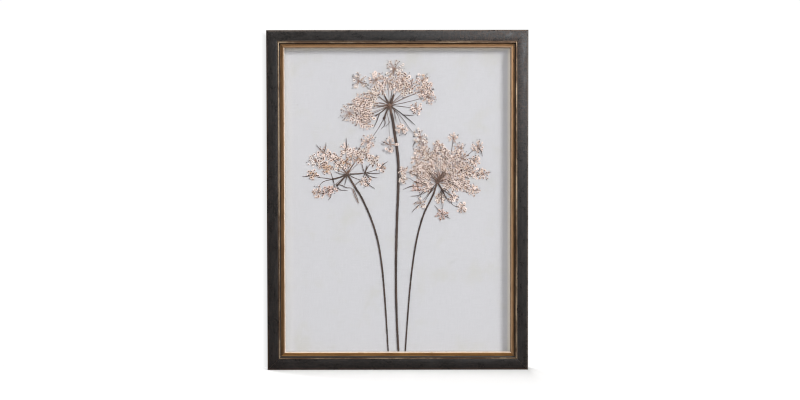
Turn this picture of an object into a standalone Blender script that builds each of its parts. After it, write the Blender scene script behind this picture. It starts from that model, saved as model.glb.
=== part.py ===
"""Pressed flower frame: three dried umbels on a paper-faced board, under glass in a dark mitred frame.

Upright in the XZ plane, front towards -Y, +Z up. The origin is at the bottom centre of the whole
object's box. Lengths are in metres. Depth is counted from the front of the frame, into the object.
"""

import math
import random
from collections import namedtuple

import bmesh
import bpy
from mathutils import Matrix, Vector

# Driving dimensions: the rabbet takes a 9 by 12 inch pane.
WIDTH = 0.2530
HEIGHT = 0.3293
RAIL_DEPTH = 0.0210
RABBET_WIDTH = 0.0122
LIP_WIDTH = 0.0173
LIP_BACK = 0.0060
TOTAL_DEPTH = 0.0235
GAP = 0.0003

# The stack in the rabbet, as depths from the front.
GLASS_THICKNESS = 0.0020
SPACER_THICKNESS = 0.0042
SPACER_WIDTH = 0.0030
MOUNT_THICKNESS = 0.0022
BACK_THICKNESS = 0.0028
GLASS_DEPTH = LIP_BACK + GAP
SPACER_DEPTH = GLASS_DEPTH + GLASS_THICKNESS + GAP
MOUNT_DEPTH = SPACER_DEPTH + SPACER_THICKNESS + GAP
BACK_DEPTH = MOUNT_DEPTH + MOUNT_THICKNESS + GAP
POINT_DEPTH = BACK_DEPTH + BACK_THICKNESS + GAP

# Section of the moulding: distance in from the outer edge, and depth from the front.
MOULDING = [
    (0.0, RAIL_DEPTH),
    (0.0, 0.0012),
    (0.0004, 0.0004),
    (0.0012, 0.0),
    (0.0084, 0.0001),
    (0.0104, 0.0006),
    (0.0113, 0.0007),
    (0.0115, 0.0002),
    (0.0119, 0.0),
    (0.0123, 0.0002),
    (0.0125, 0.0008),
    (0.0126, 0.0034),
    (0.0131, 0.0037),
    (0.0136, 0.0030),
    (0.0146, 0.0027),
    (0.0160, 0.0031),
    (0.0169, 0.0038),
    (LIP_WIDTH, 0.0046),
    (LIP_WIDTH, LIP_BACK),
    (RABBET_WIDTH, LIP_BACK),
    (RABBET_WIDTH, RAIL_DEPTH),
]

# Back hardware.
POINT_SIZE = (0.0060, 0.0005, 0.0130)
POINT_SUNK = 0.0045
POINTS_ON_SIDE = (0.25, 0.75)
HANGER_LENGTH = 0.0460
HANGER_HEIGHT = 0.0080
HANGER_THICKNESS = 0.0008
HANGER_STAND = 0.0010
HANGER_FOOT = 0.0080
TOOTH_PITCH = 0.0024
TOOTH_HEIGHT = 0.0014
TOOTH_FLAT = 0.0002
PIN_RADIUS = 0.0007
PIN_LENGTH = 0.0090
PIN_HEAD_RADIUS = 0.0016
PIN_HEAD_THICKNESS = 0.0005
PIN_SIDES = 12
BUMPER_RADIUS = 0.0045
BUMPER_SIDES = 20
BUMPER_INSET = 0.0180

# The plants lie on the mount board. They are placed by points picked by eye on an 800 by 400
# picture of the frame, in which the middle of the frame's lower edge is at PICTURE_BASE.
PICTURE_BASE = (397.0, 369.5)
PICTURE_SCALE = 0.000975
BOARD_CLEARANCE = 0.0003
LIFT_OVER_STEM = 0.0019
FLATNESS = 0.45
BRANCH_ROUNDNESS = 0
STEPS_BETWEEN_POINTS = 2
RAY_HEIGHT = 0.0009
RAY_TAPER = 0.65
CAP_MERGE = 0.000001
BRACT_RADII = (0.65, 0.28)
CLUSTER_THICKNESSES = (0.0014, 0.0015, 0.0016, 0.0017)
LOBES_PER_RADIUS = 0.75
FEWEST_LOBES = 5
LOBE_TIP_SHARES = (0.88, 1.0)
LOBE_ROOT_SHARES = (0.62, 0.74)
RIM_HEIGHT_SHARES = (0.42, 0.58)
HUB_THICKNESS = 0.0021
HUB_LOBES = 9
HUB_START = 0.5

# A ray grows from the hub, or from its start, through its via points to a cluster of florets at
# its tip. One with no via points is hidden among its neighbours, and only its cluster is modelled.
# A bract is bare. A lift carries a ray and its cluster over a stem or over another head.
Ray = namedtuple("Ray", "tip radius via start lift", defaults=(None, None, 0.0))
Bract = namedtuple("Bract", "points start", defaults=(None,))
Head = namedtuple("Head", "hub hub_radius ray_width knots rays bracts")

STEMS = {
    "middle": (
        [(390.3, 111.6), (391.6, 117), (392.9, 124), (394.2, 134), (396.2, 147), (397.8, 165), (397.6, 190),
         (396.3, 222), (395.3, 262), (395.4, 300), (396.4, 330), (397.6, 353)],
        (1.75, 1.45),
    ),
    "left": (
        [(349.1, 178.4), (355.6, 188.4), (362.5, 199.5), (371.7, 219.7), (378.2, 242),
         (382.4, 270), (385.2, 305), (388.1, 353)],
        (1.25, 0.95),
    ),
    "right": (
        [(435.0, 187.3), (433.0, 193.8), (428.9, 202), (423.6, 213), (419.2, 227), (414.8, 247),
         (410.7, 278), (408.0, 310), (405.1, 353)],
        (1.25, 0.95),
    ),
}

HEADS = {
    "middle": Head(
        hub=(389.2, 105.5),
        hub_radius=5.2,
        ray_width=0.75,
        knots=[((383.6, 118.4), 1.9)],
        rays=[
            Ray((358.5, 81.5), 8.5, ((376, 94.5), (366, 87))),
            Ray((376, 80), 8),
            Ray((387, 82), 6),
            Ray((373, 94), 7),
            Ray((381, 91), 5.5, ((385, 98),)),
            Ray((394, 69), 9.5, ((391.5, 90),)),
            Ray((402, 80), 8),
            Ray((396, 87), 6.5),
            Ray((405, 90), 7, ((397.5, 97.5),)),
            Ray((411, 85), 5),
            Ray((422, 81), 7),
            Ray((421, 92), 7, ((404, 98), (414, 94.5))),
            Ray((427, 88), 6),
            Ray((428, 97), 8, ((400, 103.8), (410, 101.5), (420, 99))),
            Ray((416, 109), 6.5, ((399, 106.6), (406, 107.4))),
            Ray((363, 100), 8),
            Ray((354, 105), 6),
            Ray((349, 113.5), 9.5),
            Ray((364, 108.5), 7),
            Ray((372, 103), 5.5, ((380, 103),)),
            Ray((359, 118), 9),
            Ray((368, 115.5), 6.5, ((380, 110.5),)),
            Ray((366, 124), 6.5),
            Ray((401, 129), 6, ((395.8, 113), (399, 120.5)), lift=LIFT_OVER_STEM),
            Ray((370.5, 141), 6.5, ((377.5, 129), (374, 135.5)), start=(383.6, 118.4)),
            Ray((391, 145), 7, ((386.4, 112), (388.2, 121), (389.0, 134)), lift=LIFT_OVER_STEM),
            Ray((419.5, 136.5), 7.5, ((396.6, 112.6), (402.5, 119.5), (411.5, 132)), lift=LIFT_OVER_STEM),
        ],
        bracts=[
            Bract(((400, 113), (409, 120.3), (414.5, 125.5))),
            Bract(((407, 115.4), (413.5, 115.6)), start=(402.5, 115)),
            Bract(((379, 113.6), (374, 115.8))),
            Bract(((377.4, 118), (375.8, 122.5), (372.5, 129)), start=(379.2, 113.6)),
            Bract(((393.8, 111.2), (394.6, 117), (395.8, 122.4)), start=(391.4, 106)),
            Bract(((386, 112), (383.6, 118.4))),
            Bract(((380, 106.4), (374, 105.2))),
            Bract(((384.6, 124), (380.5, 129.5)), start=(383.6, 118.4)),
        ],
    ),
    "left": Head(
        hub=(346.8, 174.2),
        hub_radius=3.8,
        ray_width=0.7,
        knots=[((332.2, 179.3), 1.7), ((364.6, 173.2), 2.3), ((336.6, 185.2), 1.5)],
        rays=[
            Ray((323, 153), 6.5, ((338, 165), (331, 158.5))),
            Ray((314, 160.5), 7),
            Ray((322, 163.5), 5.5),
            Ray((312.5, 174.5), 5.5, ((323, 178), (317, 177.2)), start=(332.2, 179.3)),
            Ray((326.5, 168), 6, ((330.2, 173),), start=(332.2, 179.3)),
            Ray((331, 156.5), 5),
            Ray((337, 159.5), 5.5),
            Ray((338.5, 166.5), 5),
            Ray((345, 150), 6),
            Ray((352, 153), 6),
            Ray((345.5, 162.5), 5.8, ((346.2, 168),)),
            Ray((357.5, 158.5), 5.5, ((351, 166.5),)),
            Ray((361.5, 151.5), 4.5),
            Ray((366, 154.8), 5),
            Ray((373, 160.5), 5.5, ((367.4, 167),), start=(364.6, 173.2)),
            Ray((381, 168), 5, ((372, 171),), start=(364.6, 173.2)),
            Ray((364.5, 181.5), 5.5, ((353, 177.6), (358, 179.6))),
            Ray((318, 192.5), 6.5, ((324, 181.2), (319.4, 185)), start=(332.2, 179.3)),
            Ray((327, 191), 5.5),
            Ray((333, 189.5), 4, ((336.6, 185.2),), start=(338.4, 183.2)),
        ],
        bracts=[
            Bract(((339, 177.4), (332.2, 179.3))),
            Bract(((356, 173.9), (364.6, 173.2))),
            Bract(((341.6, 180), (336.6, 185.2))),
            Bract(((307, 176.3), (301.5, 176.4)), start=(312, 175.4)),
            Bract(((325.2, 147), (325.4, 142.3)), start=(323.6, 152)),
            Bract(((318.5, 148), (315.5, 144.5)), start=(321.6, 152)),
            Bract(((345.9, 143.5), (345.5, 137.5)), start=(345.4, 149)),
            Bract(((371, 173.4), (378.5, 173.7)), start=(365, 173.2)),
            Bract(((371, 177), (377, 178)), start=(365, 174)),
            Bract(((368, 177.6), (371.8, 180.9)), start=(364.8, 174.4)),
            Bract(((365.6, 168.5), (366.2, 165.5)), start=(364.6, 172.6)),
            Bract(((383.5, 164), (387.5, 161.5)), start=(380.6, 167)),
            Bract(((370, 186.2), (374.3, 188.8)), start=(365.4, 182.4)),
            Bract(((341.2, 185.4), (346, 187.8), (349.8, 187.8), (352.2, 189.6), (355, 196), (358.3, 203.3)),
                  start=(337.5, 184.6)),
            Bract(((339, 189.6), (347, 190.4)), start=(336.6, 185.8)),
            Bract(((345, 181.5), (343.7, 185.8))),
            Bract(((333.4, 183), (333.8, 186.8), (337, 191.5)), start=(332.2, 179.8)),
            Bract(((361.6, 166), (361, 160)), start=(363.6, 172.4)),
            Bract(((330, 197), (327.2, 200.6)), start=(330.5, 192.6)),
            Bract(((340, 174), (334, 171.8))),
        ],
    ),
    "right": Head(
        hub=(436.6, 182.5),
        hub_radius=4.6,
        ray_width=0.7,
        knots=[((441.6, 190.6), 2.4)],
        rays=[
            Ray((452.5, 138), 5, ((451.6, 146),), start=(450.6, 154)),
            Ray((437.5, 146), 6),
            Ray((458.5, 148.5), 6),
            Ray((477, 147), 6.5, ((469, 153.6),), start=(463, 158.5)),
            Ray((474, 161), 5.5, ((469, 164),), start=(464, 167.5)),
            Ray((483, 174.5), 6, ((475, 176),), start=(464, 178)),
            Ray((472.5, 173), 6.5),
            Ray((473.5, 190.5), 6, ((468, 188.6),), start=(460, 183.5)),
            Ray((464.5, 187.5), 6),
            Ray((452.5, 197), 5.5, ((447, 193.2),), start=(441.6, 190.6)),
            Ray((461, 208), 5.5, ((446.6, 198.5), (453.5, 206)), start=(441.6, 190.6)),
            Ray((441.5, 215), 6, ((443.2, 197), (442.2, 206)), start=(441.6, 190.6)),
            Ray((420, 203.5), 6, ((429.6, 191), (424, 198.5))),
            Ray((416.5, 187), 5.5),
            Ray((402.5, 171), 5, ((410, 173.6),), (420.5, 177.5), LIFT_OVER_STEM),
            Ray((402, 179.2), 4.5, ((414, 181.8), (407.5, 178)), (423, 185), LIFT_OVER_STEM),
            Ray((414.5, 171.5), 6),
            Ray((417, 160), 6.5),
            Ray((418.5, 151.5), 6),
            Ray((422.5, 144.5), 5.5),
            Ray((427, 154), 6.5),
            Ray((435.5, 154.5), 6.5),
            Ray((444, 154), 6.5),
            Ray((452, 158), 7),
            Ray((461.5, 159), 7),
            Ray((455.5, 167.5), 7.5),
            Ray((443.5, 164.5), 7.5),
            Ray((431, 164), 8),
            Ray((422.5, 168), 6.5),
            Ray((465.5, 169), 7),
            Ray((462, 179), 7.5),
            Ray((450, 176), 8),
            Ray((454.5, 186.5), 6.5),
            Ray((429, 174), 7),
            Ray((420.5, 178), 6),
            Ray((426, 186), 6.5),
            Ray((446, 185.5), 5),
            Ray((439.8, 198), 5.5, ((440.6, 194),), start=(441.4, 191.4)),
        ],
        bracts=[
            Bract(((439.6, 187), (441.6, 190.6))),
            Bract(((430, 191.5), (425, 199.8)), start=(433.2, 187)),
            Bract(((421.5, 182.6), (415, 176.2)), start=(427, 184.5)),
            Bract(((446.8, 190.5), (449.6, 196.2)), start=(442.4, 188.5)),
            Bract(((419, 195), (410, 196.5)), start=(425.4, 188)),
            Bract(((410, 186.6), (402.4, 189.8)), start=(416, 186.6)),
            Bract(((444.6, 197), (449.5, 204)), start=(441.8, 191.6)),
            Bract(((437.5, 210), (433.5, 205.5)), start=(441, 214.4)),
            Bract(((446.5, 217.4), (449.5, 218.8)), start=(442.4, 215.6)),
            Bract(((480.6, 152), (481.6, 156.8)), start=(478, 148.4)),
            Bract(((414.5, 208.6), (411, 213)), start=(419.2, 204.8)),
        ],
    ),
}

MATERIALS = {
    "dark_moulding": ((0.030, 0.024, 0.020), 0.45, 0.0),
    "clear_glass": ((0.900, 0.930, 0.920), 0.05, 0.0),
    "white_spacer": ((0.800, 0.800, 0.780), 0.60, 0.0),
    "linen_paper": ((0.680, 0.670, 0.690), 0.90, 0.0),
    "hardboard": ((0.180, 0.105, 0.060), 0.80, 0.0),
    "zinc_steel": ((0.450, 0.440, 0.420), 0.40, 1.0),
    "felt_pad": ((0.060, 0.045, 0.035), 0.95, 0.0),
    "dried_stem": ((0.060, 0.035, 0.025), 0.70, 0.0),
    "dried_floret": ((0.560, 0.420, 0.330), 0.85, 0.0),
}


def clear_scene():
    for old in list(bpy.data.objects):
        bpy.data.objects.remove(old)


def make_material(name):
    colour, roughness, metallic = MATERIALS[name]
    material = bpy.data.materials.new(name)
    material.use_nodes = True
    shader = material.node_tree.nodes["Principled BSDF"]
    shader.inputs["Base Color"].default_value = (*colour, 1.0)
    shader.inputs["Roughness"].default_value = roughness
    shader.inputs["Metallic"].default_value = metallic
    return material


def finish_object(name, bm, material, place=(0.0, 0.0, 0.0)):
    """Makes the object from its bmesh, faces outwards, at its place in the frame."""
    bmesh.ops.recalc_face_normals(bm, faces=bm.faces)
    mesh = bpy.data.meshes.new(name)
    bm.to_mesh(mesh)
    bm.free()
    made = bpy.data.objects.new(name, mesh)
    bpy.context.scene.collection.objects.link(made)
    made.location = place
    mesh.materials.append(material)
    return made


def hide_helper(helper):
    helper.hide_render = True
    helper.display_type = "WIRE"


def at_depth(depth):
    """The Y of a depth behind the front of the frame."""
    return depth - TOTAL_DEPTH / 2


def on_board(point):
    """The X and Z of a point picked on the picture."""
    x = (point[0] - PICTURE_BASE[0]) * PICTURE_SCALE
    z = (PICTURE_BASE[1] - point[1]) * PICTURE_SCALE
    return x, z


# ---------------------------------------------------------------- frame

def rail(name, length, middle, turn, material):
    """One mitred rail. It is made lying along X with its outer edge up, then turned about Y."""
    mitre_gap = GAP / math.sqrt(2)
    bm = bmesh.new()
    section = [bm.verts.new((0.0, at_depth(depth), -inset)) for inset, depth in MOULDING]
    start = bm.faces.new(section)
    grown = bmesh.ops.extrude_face_region(bm, geom=[start])
    end = {v for v in grown["geom"] if isinstance(v, bmesh.types.BMVert)}
    for vert in bm.verts:
        inset = -vert.co.z
        reach = length / 2 - inset - mitre_gap
        vert.co.x = reach if vert in end else -reach
    bmesh.ops.rotate(bm, verts=bm.verts, matrix=Matrix.Rotation(turn, 3, "Y"))
    return finish_object(name, bm, material, (middle[0], 0.0, middle[1]))


def make_rails(material):
    half_turn = math.pi / 2
    return {
        "rail_top": rail("rail_top", WIDTH, (0.0, HEIGHT), 0.0, material),
        "rail_bottom": rail("rail_bottom", WIDTH, (0.0, 0.0), math.pi, material),
        "rail_left": rail("rail_left", HEIGHT, (-WIDTH / 2, HEIGHT / 2), -half_turn, material),
        "rail_right": rail("rail_right", HEIGHT, (WIDTH / 2, HEIGHT / 2), half_turn, material),
    }


def plate(name, size, centre, depth, material):
    """A flat sheet or strip: size is width, thickness and height; depth is to its front face."""
    bm = bmesh.new()
    bmesh.ops.create_cube(bm, size=1.0)
    bmesh.ops.scale(bm, verts=bm.verts, vec=size)
    return finish_object(name, bm, material, (centre[0], at_depth(depth) + size[1] / 2, centre[1]))


def make_glazing(materials):
    """The pane, the spacer strips behind the lip, the mount board and the back board."""
    wide = WIDTH - 2 * (RABBET_WIDTH + GAP)
    high = HEIGHT - 2 * (RABBET_WIDTH + GAP)
    centre = (0.0, HEIGHT / 2)
    plate("glass_pane", (wide, GLASS_THICKNESS, high), centre, GLASS_DEPTH, materials["clear_glass"])
    plate("mount_board", (wide, MOUNT_THICKNESS, high), centre, MOUNT_DEPTH, materials["linen_paper"])
    plate("back_board", (wide, BACK_THICKNESS, high), centre, BACK_DEPTH, materials["hardboard"])

    spacer = materials["white_spacer"]
    level = (high - SPACER_WIDTH) / 2
    side = (wide - SPACER_WIDTH) / 2
    upright = high - 2 * (SPACER_WIDTH + GAP)
    for name, sign in (("spacer_top", 1), ("spacer_bottom", -1)):
        size = (wide, SPACER_THICKNESS, SPACER_WIDTH)
        plate(name, size, (0.0, HEIGHT / 2 + sign * level), SPACER_DEPTH, spacer)
    for name, sign in (("spacer_left", -1), ("spacer_right", 1)):
        size = (SPACER_WIDTH, SPACER_THICKNESS, upright)
        plate(name, size, (sign * side, HEIGHT / 2), SPACER_DEPTH, spacer)


# ---------------------------------------------------------------- back

def cut(body, helper):
    """Takes the helper's shape out of the body."""
    hide_helper(helper)
    modifier = body.modifiers.new(helper.name, "BOOLEAN")
    modifier.operation = "DIFFERENCE"
    modifier.solver = "EXACT"
    modifier.object = helper


def point_places():
    """Name, rail, edge position of each framer's point and the direction into the wood."""
    places = []
    for index, share in enumerate(POINTS_ON_SIDE, start=1):
        x = WIDTH * (share - 0.5)
        z = HEIGHT * share
        places.append((f"point_top_{index}", "rail_top", (x, HEIGHT - RABBET_WIDTH), (0, 1)))
        places.append((f"point_bottom_{index}", "rail_bottom", (x, RABBET_WIDTH), (0, -1)))
        places.append((f"point_left_{index}", "rail_left", (RABBET_WIDTH - WIDTH / 2, z), (-1, 0)))
        places.append((f"point_right_{index}", "rail_right", (WIDTH / 2 - RABBET_WIDTH, z), (1, 0)))
    return places


def make_points(rails, material):
    """Flat steel points, driven part of their length into slots in the rabbet's wall."""
    across, thickness, length = POINT_SIZE
    for name, rail_name, wall, into in point_places():
        turned = into[0] != 0
        shift = POINT_SUNK - length / 2
        centre = (wall[0] + into[0] * shift, wall[1] + into[1] * shift)
        size = (length, thickness, across) if turned else (across, thickness, length)
        plate(name, size, centre, POINT_DEPTH, material)

        slot_length = 2 * (POINT_SUNK + GAP)
        slot_across = across + 2 * GAP
        slot_size = (slot_length, thickness + 2 * GAP, slot_across)
        if not turned:
            slot_size = (slot_across, thickness + 2 * GAP, slot_length)
        slot = plate(f"{name}_slot", slot_size, wall, POINT_DEPTH - GAP, material)
        cut(rails[rail_name], slot)


def rod(name, radius, length, centre, depth, material, sides=PIN_SIDES):
    """A short rod along Y, its front end at the depth given."""
    bm = bmesh.new()
    bmesh.ops.create_cone(bm, segments=sides, radius1=radius, radius2=radius, depth=length, cap_ends=True)
    bmesh.ops.rotate(bm, verts=bm.verts, matrix=Matrix.Rotation(math.pi / 2, 3, "X"))
    return finish_object(name, bm, material, (centre[0], at_depth(depth) + length / 2, centre[1]))


def make_hanger(rails, material):
    """A sawtooth strip: two feet on the rail and a raised middle whose lower edge has teeth."""
    middle_z = HEIGHT - RABBET_WIDTH / 2
    foot_back = RAIL_DEPTH + GAP
    half = HANGER_LENGTH / 2
    foot_end = half - HANGER_FOOT
    # Side view of the strip's front face, from end to end.
    bends = [(-half, 0.0), (-foot_end, 0.0), (-foot_end + HANGER_STAND, HANGER_STAND),
             (foot_end - HANGER_STAND, HANGER_STAND), (foot_end, 0.0), (half, 0.0)]
    bm = bmesh.new()
    front = [bm.verts.new((x, at_depth(foot_back + rise), 0.0)) for x, rise in bends]
    behind = [bm.verts.new((x, at_depth(foot_back + rise + HANGER_THICKNESS), 0.0)) for x, rise in bends]
    section = bm.faces.new(front + behind[::-1])
    grown = bmesh.ops.extrude_face_region(bm, geom=[section])
    upper = [v for v in grown["geom"] if isinstance(v, bmesh.types.BMVert)]
    bmesh.ops.translate(bm, verts=upper, vec=(0.0, 0.0, HANGER_HEIGHT))
    base_z = middle_z - HANGER_HEIGHT / 2
    hanger = finish_object("sawtooth_hanger", bm, material, (0.0, 0.0, base_z))

    tooth_count = int(2 * (foot_end - 2 * HANGER_STAND) / TOOTH_PITCH)
    bm = bmesh.new()
    start = -tooth_count * TOOTH_PITCH / 2
    outline = [bm.verts.new((start, 0.0, -TOOTH_HEIGHT))]
    for index in range(tooth_count):
        outline.append(bm.verts.new((start + (index + 0.5) * TOOTH_PITCH, 0.0, TOOTH_HEIGHT)))
        if index < tooth_count - 1:
            outline.append(bm.verts.new((start + (index + 1) * TOOTH_PITCH, 0.0, -TOOTH_FLAT)))
    outline.append(bm.verts.new((-start, 0.0, -TOOTH_HEIGHT)))
    face = bm.faces.new(outline)
    grown = bmesh.ops.extrude_face_region(bm, geom=[face])
    back = [v for v in grown["geom"] if isinstance(v, bmesh.types.BMVert)]
    bmesh.ops.translate(bm, verts=back, vec=(0.0, 4 * HANGER_THICKNESS, 0.0))
    place = (0.0, at_depth(foot_back + HANGER_STAND - HANGER_THICKNESS), base_z)
    cut(hanger, finish_object("hanger_teeth", bm, material, place))

    for side, sign in (("left", -1), ("right", 1)):
        centre = (sign * (half - HANGER_FOOT / 2), middle_z)
        head_depth = foot_back + HANGER_THICKNESS + GAP
        shank_depth = head_depth - PIN_LENGTH
        shank_length = PIN_LENGTH + PIN_HEAD_THICKNESS / 2
        pin = rod(f"hanger_pin_{side}", PIN_RADIUS, shank_length, centre, shank_depth, material)
        head = rod(f"pin_head_{side}", PIN_HEAD_RADIUS, PIN_HEAD_THICKNESS, centre, head_depth, material)
        hide_helper(head)
        joined = pin.modifiers.new("head", "BOOLEAN")
        joined.operation = "UNION"
        joined.solver = "EXACT"
        joined.object = head
        hole_depth = shank_depth - GAP
        hole_length = PIN_LENGTH + 2 * HANGER_THICKNESS
        hole = rod(f"pin_hole_{side}", PIN_RADIUS + GAP, hole_length, centre, hole_depth, material)
        cut(hanger, hole)
        cut(rails["rail_top"], hole)


def make_bumpers(material):
    """Round pads that keep the lower corners off the wall."""
    thickness = TOTAL_DEPTH - RAIL_DEPTH - GAP
    for side, sign in (("left", -1), ("right", 1)):
        centre = (sign * (WIDTH / 2 - BUMPER_INSET), RABBET_WIDTH / 2)
        rod(f"bumper_{side}", BUMPER_RADIUS, thickness, centre, RAIL_DEPTH + GAP, material, BUMPER_SIDES)


# ---------------------------------------------------------------- plants

def branches_mesh(name, branches):
    """Closed tapering branches in one mesh. Each is a list of (x, z, height, radius) in metres.

    They are drawn as round tubes and then pressed flat: FLATNESS is thickness over width.
    """
    curve = bpy.data.curves.new(name, "CURVE")
    curve.dimensions = "3D"
    curve.bevel_depth = 1.0
    curve.bevel_resolution = BRANCH_ROUNDNESS
    curve.use_fill_caps = True
    curve.resolution_u = STEPS_BETWEEN_POINTS
    for branch in branches:
        spline = curve.splines.new("BEZIER")
        spline.bezier_points.add(len(branch) - 1)
        for knot, (x, z, height, radius) in zip(spline.bezier_points, branch):
            knot.co = (x, (at_depth(MOUNT_DEPTH) - height) / FLATNESS, z)
            knot.radius = radius
            knot.handle_left_type = "AUTO"
            knot.handle_right_type = "AUTO"
    drawn = bpy.data.objects.new(name, curve)
    bpy.context.scene.collection.objects.link(drawn)
    bpy.context.view_layer.update()
    mesh = bpy.data.meshes.new_from_object(drawn.evaluated_get(bpy.context.evaluated_depsgraph_get()))
    bpy.data.objects.remove(drawn)
    mesh.transform(Matrix.Diagonal((1.0, FLATNESS, 1.0, 1.0)))
    bm = bmesh.new()
    bm.from_mesh(mesh)
    bmesh.ops.remove_doubles(bm, verts=bm.verts, dist=CAP_MERGE)
    bmesh.ops.recalc_face_normals(bm, faces=bm.faces)
    bm.to_mesh(mesh)
    bm.free()
    return mesh


def branch_points(points, radii, height, lift=0.0):
    """Places a branch's points on the board. It tapers, and has risen by its lift halfway along."""
    last = len(points) - 1
    placed = []
    for index, point in enumerate(points):
        share = index / last
        radius = radii[0] + (radii[1] - radii[0]) * share
        rise = lift * min(1.0, 2 * share)
        placed.append((*on_board(point), height + rise, radius * PICTURE_SCALE))
    return placed


def stem_height(side):
    """Height of a stem's middle above the board."""
    return BOARD_CLEARANCE + STEMS[side][1][0] * PICTURE_SCALE * FLATNESS


def make_stem(side, material):
    points, radii = STEMS[side]
    mesh = branches_mesh(f"stem_{side}", [branch_points(points, radii, stem_height(side))])
    stem = bpy.data.objects.new(f"stem_{side}", mesh)
    bpy.context.scene.collection.objects.link(stem)
    mesh.materials.append(material)


def add_lump(bm, middle, radius, lift, lobes, thickness, seed):
    """A pressed cluster: a lobed rim at half thickness between a point in front and one behind."""
    draw = random.Random(seed)
    x, z = on_board(middle)
    face = at_depth(MOUNT_DEPTH) - BOARD_CLEARANCE - lift
    reach = radius * PICTURE_SCALE
    turn = draw.uniform(0.0, math.tau)
    rim = []
    for index in range(2 * lobes):
        angle = turn + index * math.pi / lobes
        out = reach * draw.uniform(*(LOBE_TIP_SHARES if index % 2 == 0 else LOBE_ROOT_SHARES))
        rise = thickness * draw.uniform(*RIM_HEIGHT_SHARES)
        rim.append(bm.verts.new((x + out * math.cos(angle), face - rise, z + out * math.sin(angle))))
    front = bm.verts.new((x, face - thickness, z))
    behind = bm.verts.new((x, face, z))
    for this, following in zip(rim, rim[1:] + rim[:1]):
        bm.faces.new((this, following, front))
        bm.faces.new((following, this, behind))


def branch_start(head, start, following):
    """Where a branch begins: its own start, or in the hub, a little towards its next point."""
    if start is not None:
        return start
    across = following[0] - head.hub[0]
    down = following[1] - head.hub[1]
    share = HUB_START * head.hub_radius / math.hypot(across, down)
    return head.hub[0] + share * across, head.hub[1] + share * down


def neck_points(side):
    """From the hub to a gap short of the stem's cut top, at the stem's own width and height there."""
    points, radii = STEMS[side]
    top = Vector(points[0])
    down_stem = (Vector(points[1]) - top).normalized()
    end = top - down_stem * (GAP / PICTURE_SCALE)
    return branch_points((HEADS[side].hub, end), (radii[0], radii[0]), stem_height(side))


def head_branches(side):
    """The placed points of the neck, of every ray that shows and of every bract."""
    head = HEADS[side]
    branches = [neck_points(side)]
    for ray in head.rays:
        if ray.via is None:
            continue
        points = (branch_start(head, ray.start, ray.via[0]), *ray.via, ray.tip)
        radii = (head.ray_width, head.ray_width * RAY_TAPER)
        branches.append(branch_points(points, radii, RAY_HEIGHT, ray.lift))
    for bract in head.bracts:
        points = (branch_start(head, bract.start, bract.points[0]), *bract.points)
        branches.append(branch_points(points, BRACT_RADII, RAY_HEIGHT))
    return branches


def make_umbel(side, material):
    """The hub, with every ray, cluster and bract of the head fused to it."""
    head = HEADS[side]
    bm = bmesh.new()
    bm.from_mesh(branches_mesh(f"umbel_{side}_rays", head_branches(side)))
    for index, ray in enumerate(head.rays):
        lobes = max(FEWEST_LOBES, round(ray.radius * LOBES_PER_RADIUS))
        thickness = CLUSTER_THICKNESSES[index % len(CLUSTER_THICKNESSES)]
        add_lump(bm, ray.tip, ray.radius, ray.lift, lobes, thickness, f"{side} {index}")
    for point, radius in head.knots:
        add_lump(bm, point, radius, 0.0, FEWEST_LOBES, CLUSTER_THICKNESSES[0], f"{side} {point}")
    limbs = finish_object(f"umbel_{side}_limbs", bm, material)
    hide_helper(limbs)

    bm = bmesh.new()
    add_lump(bm, head.hub, head.hub_radius, 0.0, HUB_LOBES, HUB_THICKNESS, side)
    umbel = finish_object(f"umbel_{side}", bm, material)
    fused = umbel.modifiers.new("limbs", "BOOLEAN")
    fused.operation = "UNION"
    fused.solver = "EXACT"
    fused.use_self = True
    fused.object = limbs


def main():
    clear_scene()
    materials = {name: make_material(name) for name in MATERIALS}
    rails = make_rails(materials["dark_moulding"])
    make_glazing(materials)
    make_points(rails, materials["zinc_steel"])
    make_hanger(rails, materials["zinc_steel"])
    make_bumpers(materials["felt_pad"])
    for side in HEADS:
        make_stem(side, materials["dried_stem"])
        make_umbel(side, materials["dried_floret"])


main()
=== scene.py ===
"""Looks of the pressed flower frame: three dried umbels on linen paper, under glass in a dark moulding.

Upright in the XZ plane, front towards -Y, +Z up, in metres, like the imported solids. Depth is counted
from the front of the frame, into the object.
"""

import logging
import math
import random
from collections.abc import Iterable, Sequence
from dataclasses import dataclass, field
from enum import Enum
from typing import Optional, Union

import bmesh
import bpy
from mathutils import Euler, Matrix, Vector, noise


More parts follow.
